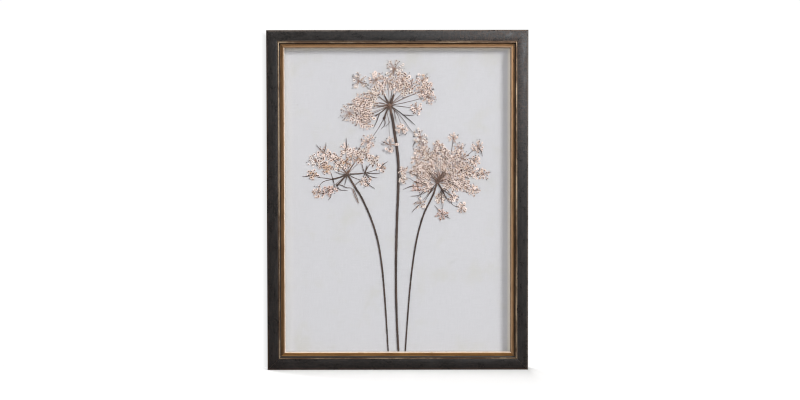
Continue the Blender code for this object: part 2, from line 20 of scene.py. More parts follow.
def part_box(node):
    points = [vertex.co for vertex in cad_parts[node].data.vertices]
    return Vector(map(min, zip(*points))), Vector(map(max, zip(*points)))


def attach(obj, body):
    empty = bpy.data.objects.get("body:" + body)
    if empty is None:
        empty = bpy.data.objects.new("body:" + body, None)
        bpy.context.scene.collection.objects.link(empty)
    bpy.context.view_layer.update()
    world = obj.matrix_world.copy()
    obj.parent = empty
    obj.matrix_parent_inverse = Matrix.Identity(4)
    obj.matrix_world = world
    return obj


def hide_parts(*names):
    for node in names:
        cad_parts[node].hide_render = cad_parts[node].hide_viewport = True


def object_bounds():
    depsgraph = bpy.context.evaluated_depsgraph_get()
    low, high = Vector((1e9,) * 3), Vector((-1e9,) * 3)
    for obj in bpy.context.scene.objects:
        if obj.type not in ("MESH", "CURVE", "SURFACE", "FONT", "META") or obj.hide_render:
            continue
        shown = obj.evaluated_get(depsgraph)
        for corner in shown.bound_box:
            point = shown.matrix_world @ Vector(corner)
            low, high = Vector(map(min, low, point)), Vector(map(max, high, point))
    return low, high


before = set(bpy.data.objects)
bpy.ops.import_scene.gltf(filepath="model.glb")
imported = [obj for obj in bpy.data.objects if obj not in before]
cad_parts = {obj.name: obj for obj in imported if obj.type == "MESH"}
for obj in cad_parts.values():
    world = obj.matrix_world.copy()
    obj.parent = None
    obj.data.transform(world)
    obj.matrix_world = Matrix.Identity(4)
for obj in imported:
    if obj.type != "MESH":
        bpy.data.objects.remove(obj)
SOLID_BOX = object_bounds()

Colour = tuple[float, float, float]
Pixel = tuple[float, float]
Range = tuple[float, float]
Feed = Union[bpy.types.NodeSocket, float, tuple, None]

LOG = logging.getLogger("pressed_flower_frame")
MM = 0.001
BODY = "root"

FRONT = SOLID_BOX[0].y
WIDTH = SOLID_BOX[1].x - SOLID_BOX[0].x
HEIGHT = SOLID_BOX[1].z - SOLID_BOX[0].z
BOARD_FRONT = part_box("mount_board")[0].y
LIP_INSET = 0.0173
OPENING = Vector((WIDTH / 2 - LIP_INSET, 0.0, HEIGHT - LIP_INSET))

# Plants and camera are placed by an 800 by 400 picture of the frame, in which the middle of the
# frame's lower edge is at PICTURE_BASE. PICTURE_SCALE is metres on the board for one of its pixels.
PICTURE_BASE = (396.85, 369.25)
PICTURE_SCALE = 0.0009736


def board_point(pixel: Pixel, height: float) -> Vector:
    """The place of a given point at a height in front of the mount board."""
    x = (pixel[0] - PICTURE_BASE[0]) * PICTURE_SCALE
    z = (PICTURE_BASE[1] - pixel[1]) * PICTURE_SCALE
    return Vector((x, BOARD_FRONT - height, z))


# ---------------------------------------------------------------- materials

class ShaderTree:
    """A new material, with short ways to add to its node tree."""

    def __init__(self, name: str) -> None:
        """Makes the material with its Principled shader."""
        self.material = bpy.data.materials.new(name)
        self.material.use_nodes = True
        self.nodes = self.material.node_tree.nodes
        self.links = self.material.node_tree.links
        self.shader = self.nodes["Principled BSDF"]
        self.surface = self.nodes["Material Output"].inputs["Surface"]

    def feed(self, socket: bpy.types.NodeSocket, value: Feed) -> None:
        """Links a socket to its source, or sets its value."""
        if isinstance(value, bpy.types.NodeSocket):
            self.links.new(value, socket)
        elif value is not None:
            short = socket.type == "RGBA" and len(value) == 3
            socket.default_value = (*value, 1.0) if short else value

    def add(self, kind: str, feeds: dict, output: Union[int, str] = 0, **settings) -> bpy.types.NodeSocket:
        """Adds a node.

        Args:
            kind: the node's type, without its ShaderNode prefix.
            feeds: what goes into its inputs, by name or number.
            output: the output that is wanted, by name or number.
            settings: the node's own options.

        Returns:
            The output socket.
        """
        node = self.nodes.new("ShaderNode" + kind)
        for name, value in settings.items():
            setattr(node, name, value)
        for key, value in feeds.items():
            self.feed(node.inputs[key], value)
        return node.outputs[output]

    def place(self, source: str = "Object", size: Union[float, tuple] = 1.0,
              turn: tuple = (0.0, 0.0, 0.0), centre: tuple = (0.0, 0.0, 0.0)) -> bpy.types.NodeSocket:
        """Coordinates in which a feature of the given size in metres is 1 long.

        Args:
            source: Object, UV, or the name of a vector attribute.
            size: length of a feature, along each axis or the same along all.
            turn: rotation of the pattern in radians.
            centre: where the pattern's own origin lies.

        Returns:
            The vector socket.
        """
        if source in ("Object", "UV"):
            vector = self.add("TexCoord", {}, source)
        else:
            vector = self.add("Attribute", {}, "Vector", attribute_name=source)
        lengths = size if isinstance(size, tuple) else (size, size, size)
        feeds = {"Vector": vector, "Location": centre, "Rotation": turn, "Scale": lengths}
        return self.add("Mapping", feeds, vector_type="TEXTURE")

    def number(self, attribute: str) -> bpy.types.NodeSocket:
        """The value of a number attribute of the mesh."""
        return self.add("Attribute", {}, "Fac", attribute_name=attribute)

    def noise(self, vector: bpy.types.NodeSocket, detail: float = 3.0, roughness: float = 0.5,
              distortion: float = 0.0) -> bpy.types.NodeSocket:
        """Cloudy noise between 0 and 1, with features 1 long in the vector's own measure."""
        feeds = {"Vector": vector, "Scale": 1.0, "Detail": detail, "Roughness": roughness,
                 "Distortion": distortion}
        return self.add("TexNoise", feeds, "Fac")

    def ramp(self, factor: Feed, *stops: tuple[float, Colour]) -> bpy.types.NodeSocket:
        """The colour of a factor on a scale of stops, each a position and a colour."""
        colour = self.add("ValToRGB", {"Fac": factor}, "Color")
        scale = colour.node.color_ramp
        while len(scale.elements) < len(stops):
            scale.elements.new(1.0)
        for element, (position, shade) in zip(scale.elements, stops):
            element.position = position
            element.color = (*shade, 1.0)
        return colour

    def span(self, value: Feed, low: float, high: float, to_low: float = 0.0,
             to_high: float = 1.0) -> bpy.types.NodeSocket:
        """Maps a value smoothly from the range low to high onto another, and holds it there."""
        feeds = {"Value": value, "From Min": low, "From Max": high, "To Min": to_low, "To Max": to_high}
        return self.add("MapRange", feeds, interpolation_type="SMOOTHSTEP")

    def calc(self, operation: str, first: Feed, second: Feed = None) -> bpy.types.NodeSocket:
        """The result of a Math node on one or two values."""
        return self.add("Math", {0: first, 1: second}, operation=operation)

    def blend(self, factor: Feed, first: Feed, second: Feed, mode: str = "MIX") -> bpy.types.NodeSocket:
        """Mixes two colours."""
        colour = self.nodes.new("ShaderNodeMix")
        colour.data_type = "RGBA"
        colour.blend_type = mode
        for key, value in ((0, factor), (6, first), (7, second)):
            self.feed(colour.inputs[key], value)
        return colour.outputs[2]

    def wash(self, colour: Feed, over: Colour, mask: Feed, strength: float) -> bpy.types.NodeSocket:
        """Lays a colour over another where a mask is, at a strength."""
        return self.blend(self.calc("MULTIPLY", mask, strength), colour, over)

    def relief(self, height: Feed, depth: float, under: Feed = None) -> bpy.types.NodeSocket:
        """A bumped normal, its depth in metres, on top of another normal if one is given."""
        return self.add("Bump", {"Height": height, "Distance": depth, "Normal": under})

    def dress(self, colour: Feed, roughness: Feed, normal: Feed = None,
              **levels: float) -> bpy.types.Material:
        """Sets the Principled shader.

        Args:
            colour: base colour.
            roughness: roughness.
            normal: bumped normal, or None.
            levels: constants of the shader's other inputs, with _ for a space in their names.

        Returns:
            The finished material.
        """
        feeds = {"Base Color": colour, "Roughness": roughness, "Normal": normal}
        feeds.update({name.replace("_", " "): value for name, value in levels.items()})
        for name, value in feeds.items():
            self.feed(self.shader.inputs[name], value)
        return self.material


@dataclass(frozen=True)
class DarkLacquer:
    """Dark lacquer on wood, scuffed every way, and worn brown along its outer edge and by the bead;
    on the top and right rails these two worn colours are lighter, as painted light.

    Its UV map runs along the rail in U and round the section in V, in metres, with V 0 on the arris.
    Lighter brown speckled wear is thickest at the upper right corner and thins out over a set reach
    along the top and down the side: worn ground, and partly painted light where the sheen falls.
    """

    arris_wear_and_light: Colour
    bead_wear_and_light: Colour
    deep: Colour = (0.0027, 0.0019, 0.0016)
    faded: Colour = (0.0074, 0.0060, 0.0056)
    scuff: Colour = (0.0270, 0.0160, 0.0110)
    bared_and_lit: Colour = (0.055, 0.036, 0.028)
    arris: float = 0.0016
    bead_edge: float = 0.0097
    lit_worn_reach: tuple[float, float] = (0.120, 0.170)
    speckle_strength: float = 0.35
    scuff_strength: float = 0.45
    bared_strength: float = 0.85
    arris_strength: float = 0.8
    bead_strength: float = 0.85
    strokes: tuple[tuple[float, float, float], ...] = (
        (0.0060, 0.00035, 0.9), (0.0050, 0.00040, -1.1), (0.0045, 0.00050, 1.5), (0.0090, 0.00030, 0.15),
    )

    def make(self) -> bpy.types.Material:
        """Builds the material."""
        tree = ShaderTree("dark_lacquer")
        grain = tree.noise(tree.place("UV", (0.030, 0.0007, 1.0)), 4.0, 0.6)
        clouds = tree.noise(tree.place("UV", (0.014, 0.006, 1.0)), 4.0, 0.6, 0.4)
        speckle = tree.noise(tree.place("UV", (0.0020, 0.0016, 1.0)), 4.0, 0.7)
        streaks = tree.noise(tree.place("UV", (0.0014, 0.0050, 1.0)), 4.0, 0.7)
        scratches = self.scratches(tree)
        scuffed = tree.calc("MULTIPLY", scratches, tree.span(clouds, 0.36, 0.60, 0.25, 1.0))

        across = tree.add("SeparateXYZ", {0: tree.add("TexCoord", {}, "UV")}, "Y")
        near_arris = tree.span(tree.calc("ABSOLUTE", across), self.arris, 0.55 * self.arris)
        near_bead = tree.span(across, self.bead_edge, self.bead_edge + 0.8 * MM)
        broken = tree.span(tree.blend(0.4, clouds, speckle), 0.36, 0.52)
        # Partly painted light: lighter speckled wear gathered at the upper right corner, where the sheen
        # falls.
        bared_and_lit = self.lit_worn_corner(tree, tree.blend(0.5, speckle, streaks))

        colour = tree.blend(tree.span(grain, 0.35, 0.70), self.deep, self.faded)
        colour = tree.blend(tree.span(speckle, 0.48, 0.66, 0.0, self.speckle_strength), colour, self.scuff)
        colour = tree.wash(colour, self.scuff, scuffed, self.scuff_strength)
        colour = tree.wash(colour, self.bared_and_lit, bared_and_lit, self.bared_strength)
        # The arris and bead-side colours are wear, and on the top and right rails also painted light.
        on_arris = tree.calc("MULTIPLY", near_arris, broken)
        colour = tree.wash(colour, self.arris_wear_and_light, on_arris, self.arris_strength)
        by_bead = tree.calc("MULTIPLY", near_bead, broken)
        colour = tree.wash(colour, self.bead_wear_and_light, by_bead, self.bead_strength)
        mixed = tree.calc("ADD", clouds, tree.calc("MULTIPLY", speckle, 0.8))
        mixed = tree.calc("ADD", mixed, tree.calc("MULTIPLY", scuffed, 0.15))
        gloss = tree.span(mixed, 0.65, 1.25, 0.26, 0.50)
        gloss = tree.calc("ADD", gloss, tree.calc("MULTIPLY", bared_and_lit, 0.16))
        normal = tree.relief(grain, 0.00003, tree.relief(clouds, 0.00008, tree.relief(scuffed, 0.00002)))
        return tree.dress(colour, gloss, normal, Specular_IOR_Level=0.28, Coat_Weight=0.06,
                          Coat_Roughness=0.28)

    def lit_worn_corner(self, tree: ShaderTree, speckle: Feed) -> bpy.types.NodeSocket:
        """Speckled wear down to the brown ground, thickest at the upper right corner and thinning out away
        from it: partly painted light where the sheen falls.
        """
        wide, high = self.lit_worn_reach
        corner = tree.place(size=(wide, 1.0, high), centre=(WIDTH / 2, 0.0, HEIGHT))
        near = tree.add("TexGradient", {"Vector": corner}, "Fac", gradient_type="SPHERICAL")
        near = tree.span(near, 0.0, 0.8)
        return tree.calc("MULTIPLY", tree.span(speckle, 0.44, 0.62), near)

    def scratches(self, tree: ShaderTree) -> bpy.types.NodeSocket:
        """Rub marks in several directions, each a stroke's length, width and turn."""
        marks = None
        for length, width, turn in self.strokes:
            lines = tree.noise(tree.place("UV", (length, width, 1.0), (0.0, 0.0, turn)), 2.0)
            drawn = tree.span(lines, 0.60, 0.72)
            marks = drawn if marks is None else tree.calc("MAXIMUM", marks, drawn)
        return marks


@dataclass(frozen=True)
class ChampagneLeaf:
    """The bead's pale metal leaf, dulled and worn through in places. Wear adds to the worn places."""

    leaf: Colour = (0.275, 0.205, 0.136)
    worn: Colour = (0.080, 0.047, 0.028)
    wear: float = 0.0

    def make(self) -> bpy.types.Material:
        """Builds the material."""
        tree = ShaderTree("champagne_leaf")
        stretches = tree.noise(tree.place("UV", (0.045, 0.010, 1.0)), 2.0, 0.5)
        patches = tree.noise(tree.place("UV", (0.006, 0.0015, 1.0)), 5.0, 0.65)
        worn = tree.calc("ADD", tree.calc("MULTIPLY", stretches, 0.6), tree.calc("MULTIPLY", patches, 0.4))
        colour = tree.blend(tree.span(worn, 0.42 - self.wear, 0.60 - self.wear), self.leaf, self.worn)
        normal = tree.relief(patches, 0.00004)
        return tree.dress(colour, tree.span(patches, 0.3, 0.7, 0.34, 0.52), normal, Metallic=0.75)


@dataclass(frozen=True)
class GiltLeaf:
    """Toned gilt on the sight lip: brownish gold, worn to its ground in places."""

    leaf: Colour = (0.222, 0.124, 0.056)
    toned: Colour = (0.125, 0.065, 0.027)
    ground: Colour = (0.051, 0.022, 0.010)

    def make(self) -> bpy.types.Material:
        """Builds the material."""
        tree = ShaderTree("gilt_leaf")
        patches = tree.noise(tree.place("UV", (0.020, 0.0022, 1.0)), 5.0, 0.6)
        rubs = tree.noise(tree.place("UV", (0.006, 0.0008, 1.0)), 3.0, 0.6)
        colour = tree.blend(tree.span(patches, 0.38, 0.66), self.leaf, self.toned)
        colour = tree.blend(tree.span(rubs, 0.60, 0.74), colour, self.ground)
        normal = tree.relief(rubs, 0.00003, tree.relief(patches, 0.00008))
        return tree.dress(colour, tree.span(patches, 0.3, 0.7, 0.36, 0.52), normal, Metallic=0.65)


@dataclass(frozen=True)
class SightPaint:
    """The sight edge, worn down to its cream ground."""

    cream: Colour = (0.530, 0.440, 0.365)
    toned: Colour = (0.41, 0.305, 0.215)

    def make(self) -> bpy.types.Material:
        """Builds the material."""
        tree = ShaderTree("sight_paint")
        rubs = tree.noise(tree.place("UV", (0.010, 0.0010, 1.0)), 4.0, 0.6)
        colour = tree.blend(tree.span(rubs, 0.45, 0.70), self.cream, self.toned)
        return tree.dress(colour, tree.span(rubs, 0.3, 0.7, 0.45, 0.60), tree.relief(rubs, 0.00004))


@dataclass(frozen=True)
class GrooveStain:
    """Dark brown stain in the groove between the bead and the lip."""

    colour: Colour = (0.0107, 0.0058, 0.0031)
    dust: Colour = (0.045, 0.0286, 0.018)

    def make(self) -> bpy.types.Material:
        """Builds the material."""
        tree = ShaderTree("groove_stain")
        specks = tree.noise(tree.place("UV", (0.004, 0.0008, 1.0)), 4.0, 0.6)
        colour = tree.blend(tree.span(specks, 0.5, 0.75), self.colour, self.dust)
        return tree.dress(colour, 0.65, tree.relief(specks, 0.00004))


@dataclass(frozen=True)
class RawWood:
    """Bare light wood on the back of the moulding and in its rabbet, with grain along the rail."""

    pale: Colour = (0.46, 0.31, 0.18)
    dark: Colour = (0.27, 0.160, 0.080)

    def make(self) -> bpy.types.Material:
        """Builds the material."""
        tree = ShaderTree("raw_wood")
        rings = tree.noise(tree.place("UV", (0.120, 0.0022, 1.0)), 4.0, 0.55, 0.6)
        pores = tree.noise(tree.place("UV", (0.006, 0.00022, 1.0)), 2.0, 0.5)
        colour = tree.blend(tree.span(rings, 0.35, 0.65), self.pale, self.dark)
        colour = tree.blend(tree.span(pores, 0.62, 0.75, 0.0, 0.6), colour, self.dark)
        return tree.dress(colour, 0.72, tree.relief(pores, 0.00005, tree.relief(rings, 0.00008)))


@dataclass(frozen=True)
class PaneGlass:
    """Clear float glass: each pane mirrors a little more towards grazing, and lets lamps through."""

    tint: Colour = (0.975, 0.985, 0.980)
    ior: float = 1.5
    both_faces: float = 1.8
    roughness: float = 0.02

    def make(self) -> bpy.types.Material:
        """Builds the material. The far face of the pane only lets through."""
        tree = ShaderTree("pane_glass")
        tree.nodes.remove(tree.shader)
        inside = tree.add("NewGeometry", {}, "Backfacing")
        mirror = tree.calc("MULTIPLY", tree.add("Fresnel", {"IOR": self.ior}), self.both_faces)
        share = tree.calc("MULTIPLY", mirror, tree.calc("SUBTRACT", 1.0, inside))
        through = tree.add("BsdfTransparent", {"Color": self.tint})
        gloss = tree.add("BsdfGlossy", {"Color": (1.0, 1.0, 1.0), "Roughness": self.roughness})
        tree.feed(tree.surface, tree.add("MixShader", {0: share, 1: through, 2: gloss}))
        return tree.material


@dataclass(frozen=True)
class Smudge:
    """A faint mark on the paper: where it is in the picture, its half size in pixels and its turn."""

    place: Pixel
    half_size: tuple[float, float]
    turn: float
    strength: float


@dataclass(frozen=True)
class LinenPaper:
    """Pale cool grey paper with a fine linen texture, a few foxed patches and smudges, and painted light
    by the lip: lighter along the left edge of the opening, and warmer and lighter along its top and
    right edges, in the lip's shadow.
    """

    colour: Colour = (0.519, 0.506, 0.544)
    shade: Colour = (0.492, 0.478, 0.515)
    foxed: Colour = (0.474, 0.453, 0.426)
    mark: Colour = (0.30, 0.278, 0.261)
    # Painted light: a lighter colour along the left edge of the opening, for light bounced off the lip.
    left_edge_light: Colour = (0.583, 0.570, 0.596)
    left_light_width: float = 0.010
    # Painted light: a warm lighter rim along the top and right edges of the opening, in the lip's shadow.
    shadow_rim_light: Colour = (0.700, 0.640, 0.590)
    shadow_rim_width: float = 0.0035
    thread: float = 0.00038
    thread_length: float = 0.012
    smudges: tuple[Smudge, ...] = (
        Smudge((452.0, 262.0), (7.0, 2.4), 0.55, 0.22),
        Smudge((463.0, 254.5), (8.0, 1.6), -0.10, 0.12),
        Smudge((440.0, 268.0), (7.0, 1.4), 0.05, 0.10),
        Smudge((366.0, 305.0), (15.0, 2.0), 1.05, 0.10),
        Smudge((359.0, 291.0), (8.0, 1.4), 0.75, 0.09),
        Smudge((297.0, 105.0), (1.6, 1.2), 0.0, 0.25),
    )

    def make(self) -> bpy.types.Material:
        """Builds the material."""
        tree = ShaderTree("linen_paper")
        warp = tree.noise(tree.place(size=(self.thread, 1.0, self.thread_length)), 2.0)
        weft = tree.noise(tree.place(size=(self.thread_length, 1.0, self.thread)), 2.0)
        threads = tree.calc("ADD", warp, weft)
        clouds = tree.noise(tree.place(size=0.035), 4.0, 0.6)
        fibres = tree.noise(tree.place(size=0.0025), 5.0, 0.7)
        colour = tree.blend(tree.span(threads, 0.85, 1.20), self.colour, self.shade)
        colour = tree.blend(tree.span(clouds, 0.50, 0.72, 0.0, 0.45), colour, self.foxed)
        for smudge in self.smudges:
            colour = self.add_smudge(tree, colour, smudge, fibres)
        # Painted light: the paper lightens towards the left edge of the opening.
        from_left = tree.add("SeparateXYZ", {0: tree.place(centre=(-OPENING.x, 0.0, 0.0))}, "X")
        colour = tree.blend(tree.span(from_left, 0.0, self.left_light_width, 0.9, 0.0), colour, self.left_edge_light)
        # Painted light: warmer and lighter within a few millimetres of the top and right edges of the
        # opening.
        corner = tree.add("SeparateXYZ", {0: tree.place(centre=(OPENING.x, 0.0, OPENING.z))}).node
        past = tree.calc("MAXIMUM", corner.outputs["X"], corner.outputs["Z"])
        colour = tree.blend(tree.span(past, -self.shadow_rim_width, 0.0), colour, self.shadow_rim_light)
        normal = tree.relief(fibres, 0.00001, tree.relief(threads, 0.00004))
        return tree.dress(colour, 0.88, normal, Specular_IOR_Level=0.2)

    def add_smudge(self, tree: ShaderTree, colour: Feed, smudge: Smudge, fibres: Feed) -> Feed:
        """Darkens the paper in a soft oval.

        Args:
            tree: the material's tree.
            colour: the paper's colour so far.
            smudge: the mark.
            fibres: noise that breaks the mark up.

        Returns:
            The colour with the mark.
        """
        middle = board_point(smudge.place, 0.0)
        wide, high = (PICTURE_SCALE * half for half in smudge.half_size)
        oval = tree.place(size=(wide, 0.01, high), turn=(0.0, -smudge.turn, 0.0), centre=tuple(middle))
        soft = tree.add("TexGradient", {"Vector": oval}, "Fac", gradient_type="SPHERICAL")
        broken = tree.calc("MULTIPLY", soft, tree.span(fibres, 0.35, 0.65, 0.4, 1.0))
        return tree.wash(colour, self.mark, broken, smudge.strength)


@dataclass(frozen=True)
class SpacerPlastic:
    """Matt white extruded strip."""

    colour: Colour = (0.690, 0.645, 0.585)
    shade: Colour = (0.600, 0.555, 0.497)

    def make(self) -> bpy.types.Material:
        """Builds the material."""
        tree = ShaderTree("spacer_plastic")
        lines = tree.noise(tree.place(size=(0.004, 0.0004, 0.004)), 3.0)
        colour = tree.blend(lines, self.colour, self.shade)
        return tree.dress(colour, 0.55, tree.relief(lines, 0.00003))


@dataclass(frozen=True)
class Hardboard:
    """Brown pressed hardboard: matted fibres with dark and pale flecks."""

    brown: Colour = (0.205, 0.115, 0.062)
    dark: Colour = (0.105, 0.056, 0.030)
    fleck: Colour = (0.36, 0.235, 0.140)

    def make(self) -> bpy.types.Material:
        """Builds the material."""
        tree = ShaderTree("hardboard")
        clouds = tree.noise(tree.place(size=0.030), 4.0, 0.6)
        fibres = tree.noise(tree.place(size=(0.0030, 0.0030, 0.0008)), 4.0, 0.7, 1.2)
        crossed = tree.noise(tree.place(size=(0.0008, 0.0030, 0.0032)), 4.0, 0.7, 1.2)
        matted = tree.calc("MAXIMUM", fibres, crossed)
        colour = tree.blend(tree.span(clouds, 0.35, 0.65, 0.0, 0.6), self.brown, self.dark)
        colour = tree.blend(tree.span(matted, 0.62, 0.78, 0.0, 0.7), colour, self.fleck)
        colour = tree.blend(tree.span(fibres, 0.42, 0.28, 0.0, 0.6), colour, self.dark)
        return tree.dress(colour, tree.span(matted, 0.4, 0.7, 0.45, 0.70), tree.relief(matted, 0.00006))


@dataclass(frozen=True)
class ZincSteel:
    """Dull zinc-plated sheet steel with faint spangle and handling marks."""

    bright: Colour = (0.50, 0.49, 0.47)
    dull: Colour = (0.30, 0.29, 0.275)

    def make(self) -> bpy.types.Material:
        """Builds the material."""
        tree = ShaderTree("zinc_steel")
        spangle = tree.add("TexVoronoi", {"Vector": tree.place(size=0.0012), "Scale": 1.0}, "Distance")
        marks = tree.noise(tree.place(size=(0.004, 0.0015, 0.0006)), 4.0, 0.6)
        mixed = tree.calc("ADD", tree.calc("MULTIPLY", spangle, 0.5), marks)
        colour = tree.blend(tree.span(mixed, 0.45, 0.95), self.bright, self.dull)
        return tree.dress(colour, tree.span(mixed, 0.4, 1.0, 0.30, 0.52), tree.relief(marks, 0.00002),
                          Metallic=1.0)


@dataclass(frozen=True)
class BumperFelt:
    """Dark brown pressed felt."""

    colour: Colour = (0.052, 0.038, 0.030)
    fuzz: Colour = (0.115, 0.092, 0.076)

    def make(self) -> bpy.types.Material:
        """Builds the material."""
        tree = ShaderTree("bumper_felt")
        fuzz = tree.noise(tree.place(size=0.0005), 5.0, 0.75, 1.0)
        colour = tree.blend(tree.span(fuzz, 0.4, 0.7), self.colour, self.fuzz)
        return tree.dress(colour, 0.95, tree.relief(fuzz, 0.0002), Sheen_Weight=0.35, Sheen_Roughness=0.5)


@dataclass(frozen=True)
class StemBark:
    """Dried stems and rays: dark purple-brown, with fine ridges along them.

    The grain attribute is the place along and across the straightened limb, in metres, and tint is
    0 on thick limbs and 1 on a floret's own stalk.
    """

    dark: Colour = (0.0185, 0.0095, 0.0073)
    brown: Colour = (0.066, 0.0335, 0.025)
    pale: Colour = (0.420, 0.240, 0.172)
    pale_strength: float = 0.8

    def make(self) -> bpy.types.Material:
        """Builds the material."""
        tree = ShaderTree("stem_bark")
        ridges = tree.noise(tree.place("grain", (0.00045, 0.00045, 0.018)), 3.0, 0.55)
        blotches = tree.noise(tree.place("grain", (0.003, 0.003, 0.006)), 4.0, 0.6)
        colour = tree.blend(tree.span(ridges, 0.34, 0.66), self.dark, self.brown)
        colour = tree.blend(tree.span(blotches, 0.52, 0.72, 0.0, 0.5), colour, self.dark)
        colour = tree.wash(colour, self.pale, tree.number("tint"), self.pale_strength)
        return tree.dress(colour, 0.62, tree.relief(ridges, 0.00012), Specular_IOR_Level=0.25)


@dataclass(frozen=True)
class PetalSkin:
    """Dried petals. Tone places a floret on the scale of dried colours, tint shades it from the
    others, and reach is 0 at a petal's base and 1 at its rim."""

    scale: tuple[tuple[float, Colour], ...] = (
        (0.0, (0.882, 0.800, 0.805)),
        (0.2, (0.870, 0.752, 0.718)),
        (0.4, (0.866, 0.708, 0.680)),
        (0.6, (0.925, 0.782, 0.765)),
        (0.8, (0.705, 0.468, 0.322)),
        (1.0, (0.778, 0.592, 0.575)),
    )
    base_shade: float = 0.95
    crease_shade: float = 0.96
    green_power: float = 1.35
    blue_power: float = 1.7

    def make(self) -> bpy.types.Material:
        """Builds the material. Shaded parts are also browner."""
        tree = ShaderTree("petal_skin")
        creases = tree.noise(tree.place(size=0.0005), 4.0, 0.65)
        colour = tree.ramp(tree.number("tone"), *self.scale)
        creased = tree.span(creases, 0.30, 0.70, self.crease_shade, 1.0)
        light = tree.calc("MULTIPLY", tree.number("tint"), creased)
        light = tree.calc("MULTIPLY", light, tree.span(tree.number("reach"), 0.0, 0.7, self.base_shade, 1.0))
        green = tree.calc("POWER", light, self.green_power)
        blue = tree.calc("POWER", light, self.blue_power)
        browned = tree.add("CombineColor", {"Red": light, "Green": green, "Blue": blue})
        colour = tree.blend(1.0, colour, browned, "MULTIPLY")
        return tree.dress(colour, 0.8, tree.relief(creases, 0.00010), Specular_IOR_Level=0.25)


@dataclass(frozen=True)
class HeartSkin:
    """The brown hearts of the florets."""

    dark: Colour = (0.034, 0.0136, 0.0083)
    light: Colour = (0.122, 0.055, 0.033)

    def make(self) -> bpy.types.Material:
        """Builds the material."""
        tree = ShaderTree("heart_skin")
        pits = tree.noise(tree.place(size=0.0004), 3.0, 0.6)
        mixed = tree.calc("MULTIPLY", pits, tree.number("tint"))
        colour = tree.blend(tree.span(mixed, 0.25, 0.75), self.dark, self.light)
        return tree.dress(colour, 0.7, tree.relief(pits, 0.00010), Specular_IOR_Level=0.3)


@dataclass(frozen=True)
class FloorPaint:
    """White paint of the floor, which glows a little, as a lit sweep does, with a contact shade."""

    white: Colour = (0.75, 0.75, 0.75)
    mottle: Colour = (0.73, 0.73, 0.73)
    glow: float = 0.34
    contact: float = 0.30
    reach: float = 0.048
    side_reach: float = 0.004

    def make(self) -> bpy.types.Material:
        """Builds the material."""
        tree = ShaderTree("floor_paint")
        clouds = tree.noise(tree.place(size=0.8), 2.0)
        axes = tree.add("SeparateXYZ", {0: tree.place()}).node
        across = self.beyond(tree, axes.outputs["X"], WIDTH / 2, self.side_reach)
        ahead = self.beyond(tree, axes.outputs["Y"], -FRONT, self.reach)
        both = tree.add("CombineXYZ", {"X": across, "Y": ahead})
        away = tree.add("VectorMath", {0: both}, "Value", operation="LENGTH")
        fading = tree.calc("EXPONENT", tree.calc("MULTIPLY", away, -1.0))
        shade = tree.calc("SUBTRACT", 1.0, tree.calc("MULTIPLY", fading, self.contact))
        grey = tree.add("CombineColor", {"Red": shade, "Green": shade, "Blue": shade})
        colour = tree.blend(1.0, tree.blend(clouds, self.white, self.mottle), grey, "MULTIPLY")
        glow = tree.calc("MULTIPLY", shade, self.glow)
        return tree.dress(colour, 0.9, Emission_Color=(1.0, 1.0, 1.0, 1.0), Emission_Strength=glow,
                          Specular_IOR_Level=0.1)

    def beyond(self, tree: ShaderTree, axis: Feed, half: float, reach: float) -> bpy.types.NodeSocket:
        """How far a point lies past the frame's foot along one axis, over a reach."""
        past = tree.calc("SUBTRACT", tree.calc("ABSOLUTE", axis), half)
        return tree.calc("MAXIMUM", tree.calc("DIVIDE", past, reach), 0.0)


@dataclass(frozen=True)
class BackdropPaint:
    """White glowing backdrop with a faint contact shade along two edges of the frame.

    It can be seen through from behind.
    """

    glow: float = 1.02
    darkest: float = 0.72
    shade_shift: float = 0.00375
    shade_width: float = 0.0075

    def make(self) -> bpy.types.Material:
        """Builds the material."""
        tree = ShaderTree("backdrop_paint")
        axes = tree.add("SeparateXYZ", {0: tree.place()}).node
        across = self.overhang(tree, axes.outputs["X"], -self.shade_shift, WIDTH / 2)
        upward = self.overhang(tree, axes.outputs["Z"], HEIGHT / 2 - self.shade_shift, HEIGHT / 2)
        past_edge = tree.calc("MAXIMUM", across, upward)
        half = self.shade_width / 2
        shade = tree.span(past_edge, -half, half, self.darkest, 1.0)
        strength = tree.calc("MULTIPLY", shade, self.glow)
        light = tree.add("Emission", {"Color": (1.0, 1.0, 1.0), "Strength": strength})
        behind = tree.add("NewGeometry", {}, "Backfacing")
        clear = tree.add("BsdfTransparent", {})
        tree.feed(tree.surface, tree.add("MixShader", {0: behind, 1: light, 2: clear}))
        tree.nodes.remove(tree.shader)
        return tree.material

    def overhang(self, tree: ShaderTree, axis: Feed, centre: float, half: float) -> bpy.types.NodeSocket:
        """How far a point lies past the shade's own edge along one axis."""
        from_centre = tree.calc("ABSOLUTE", tree.calc("SUBTRACT", axis, centre))
        return tree.calc("SUBTRACT", from_centre, half)


# ---------------------------------------------------------------- mesh helpers

def as_mesh(name: str, bm: bmesh.types.BMesh) -> bpy.types.Mesh:
    """A mesh from a bmesh, which is freed."""
    mesh = bpy.data.meshes.new(name)
    bm.to_mesh(mesh)
    bm.free()
    return mesh


def put_in_scene(name: str, data: bpy.types.ID) -> bpy.types.Object:
    """A new object in the scene, at the origin."""
    made = bpy.data.objects.new(name, data)
    bpy.context.scene.collection.objects.link(made)
    return made


def bevel(bm: bmesh.types.BMesh, geom: Sequence, offset: float, segments: int, affect: str = "EDGES",
          clamp: bool = False) -> None:
    """Rounds edges or corners."""
    bmesh.ops.bevel(bm, geom=geom, offset=offset, offset_type="OFFSET", profile=0.5, segments=segments,
                    affect=affect, clamp_overlap=clamp, material=-1)


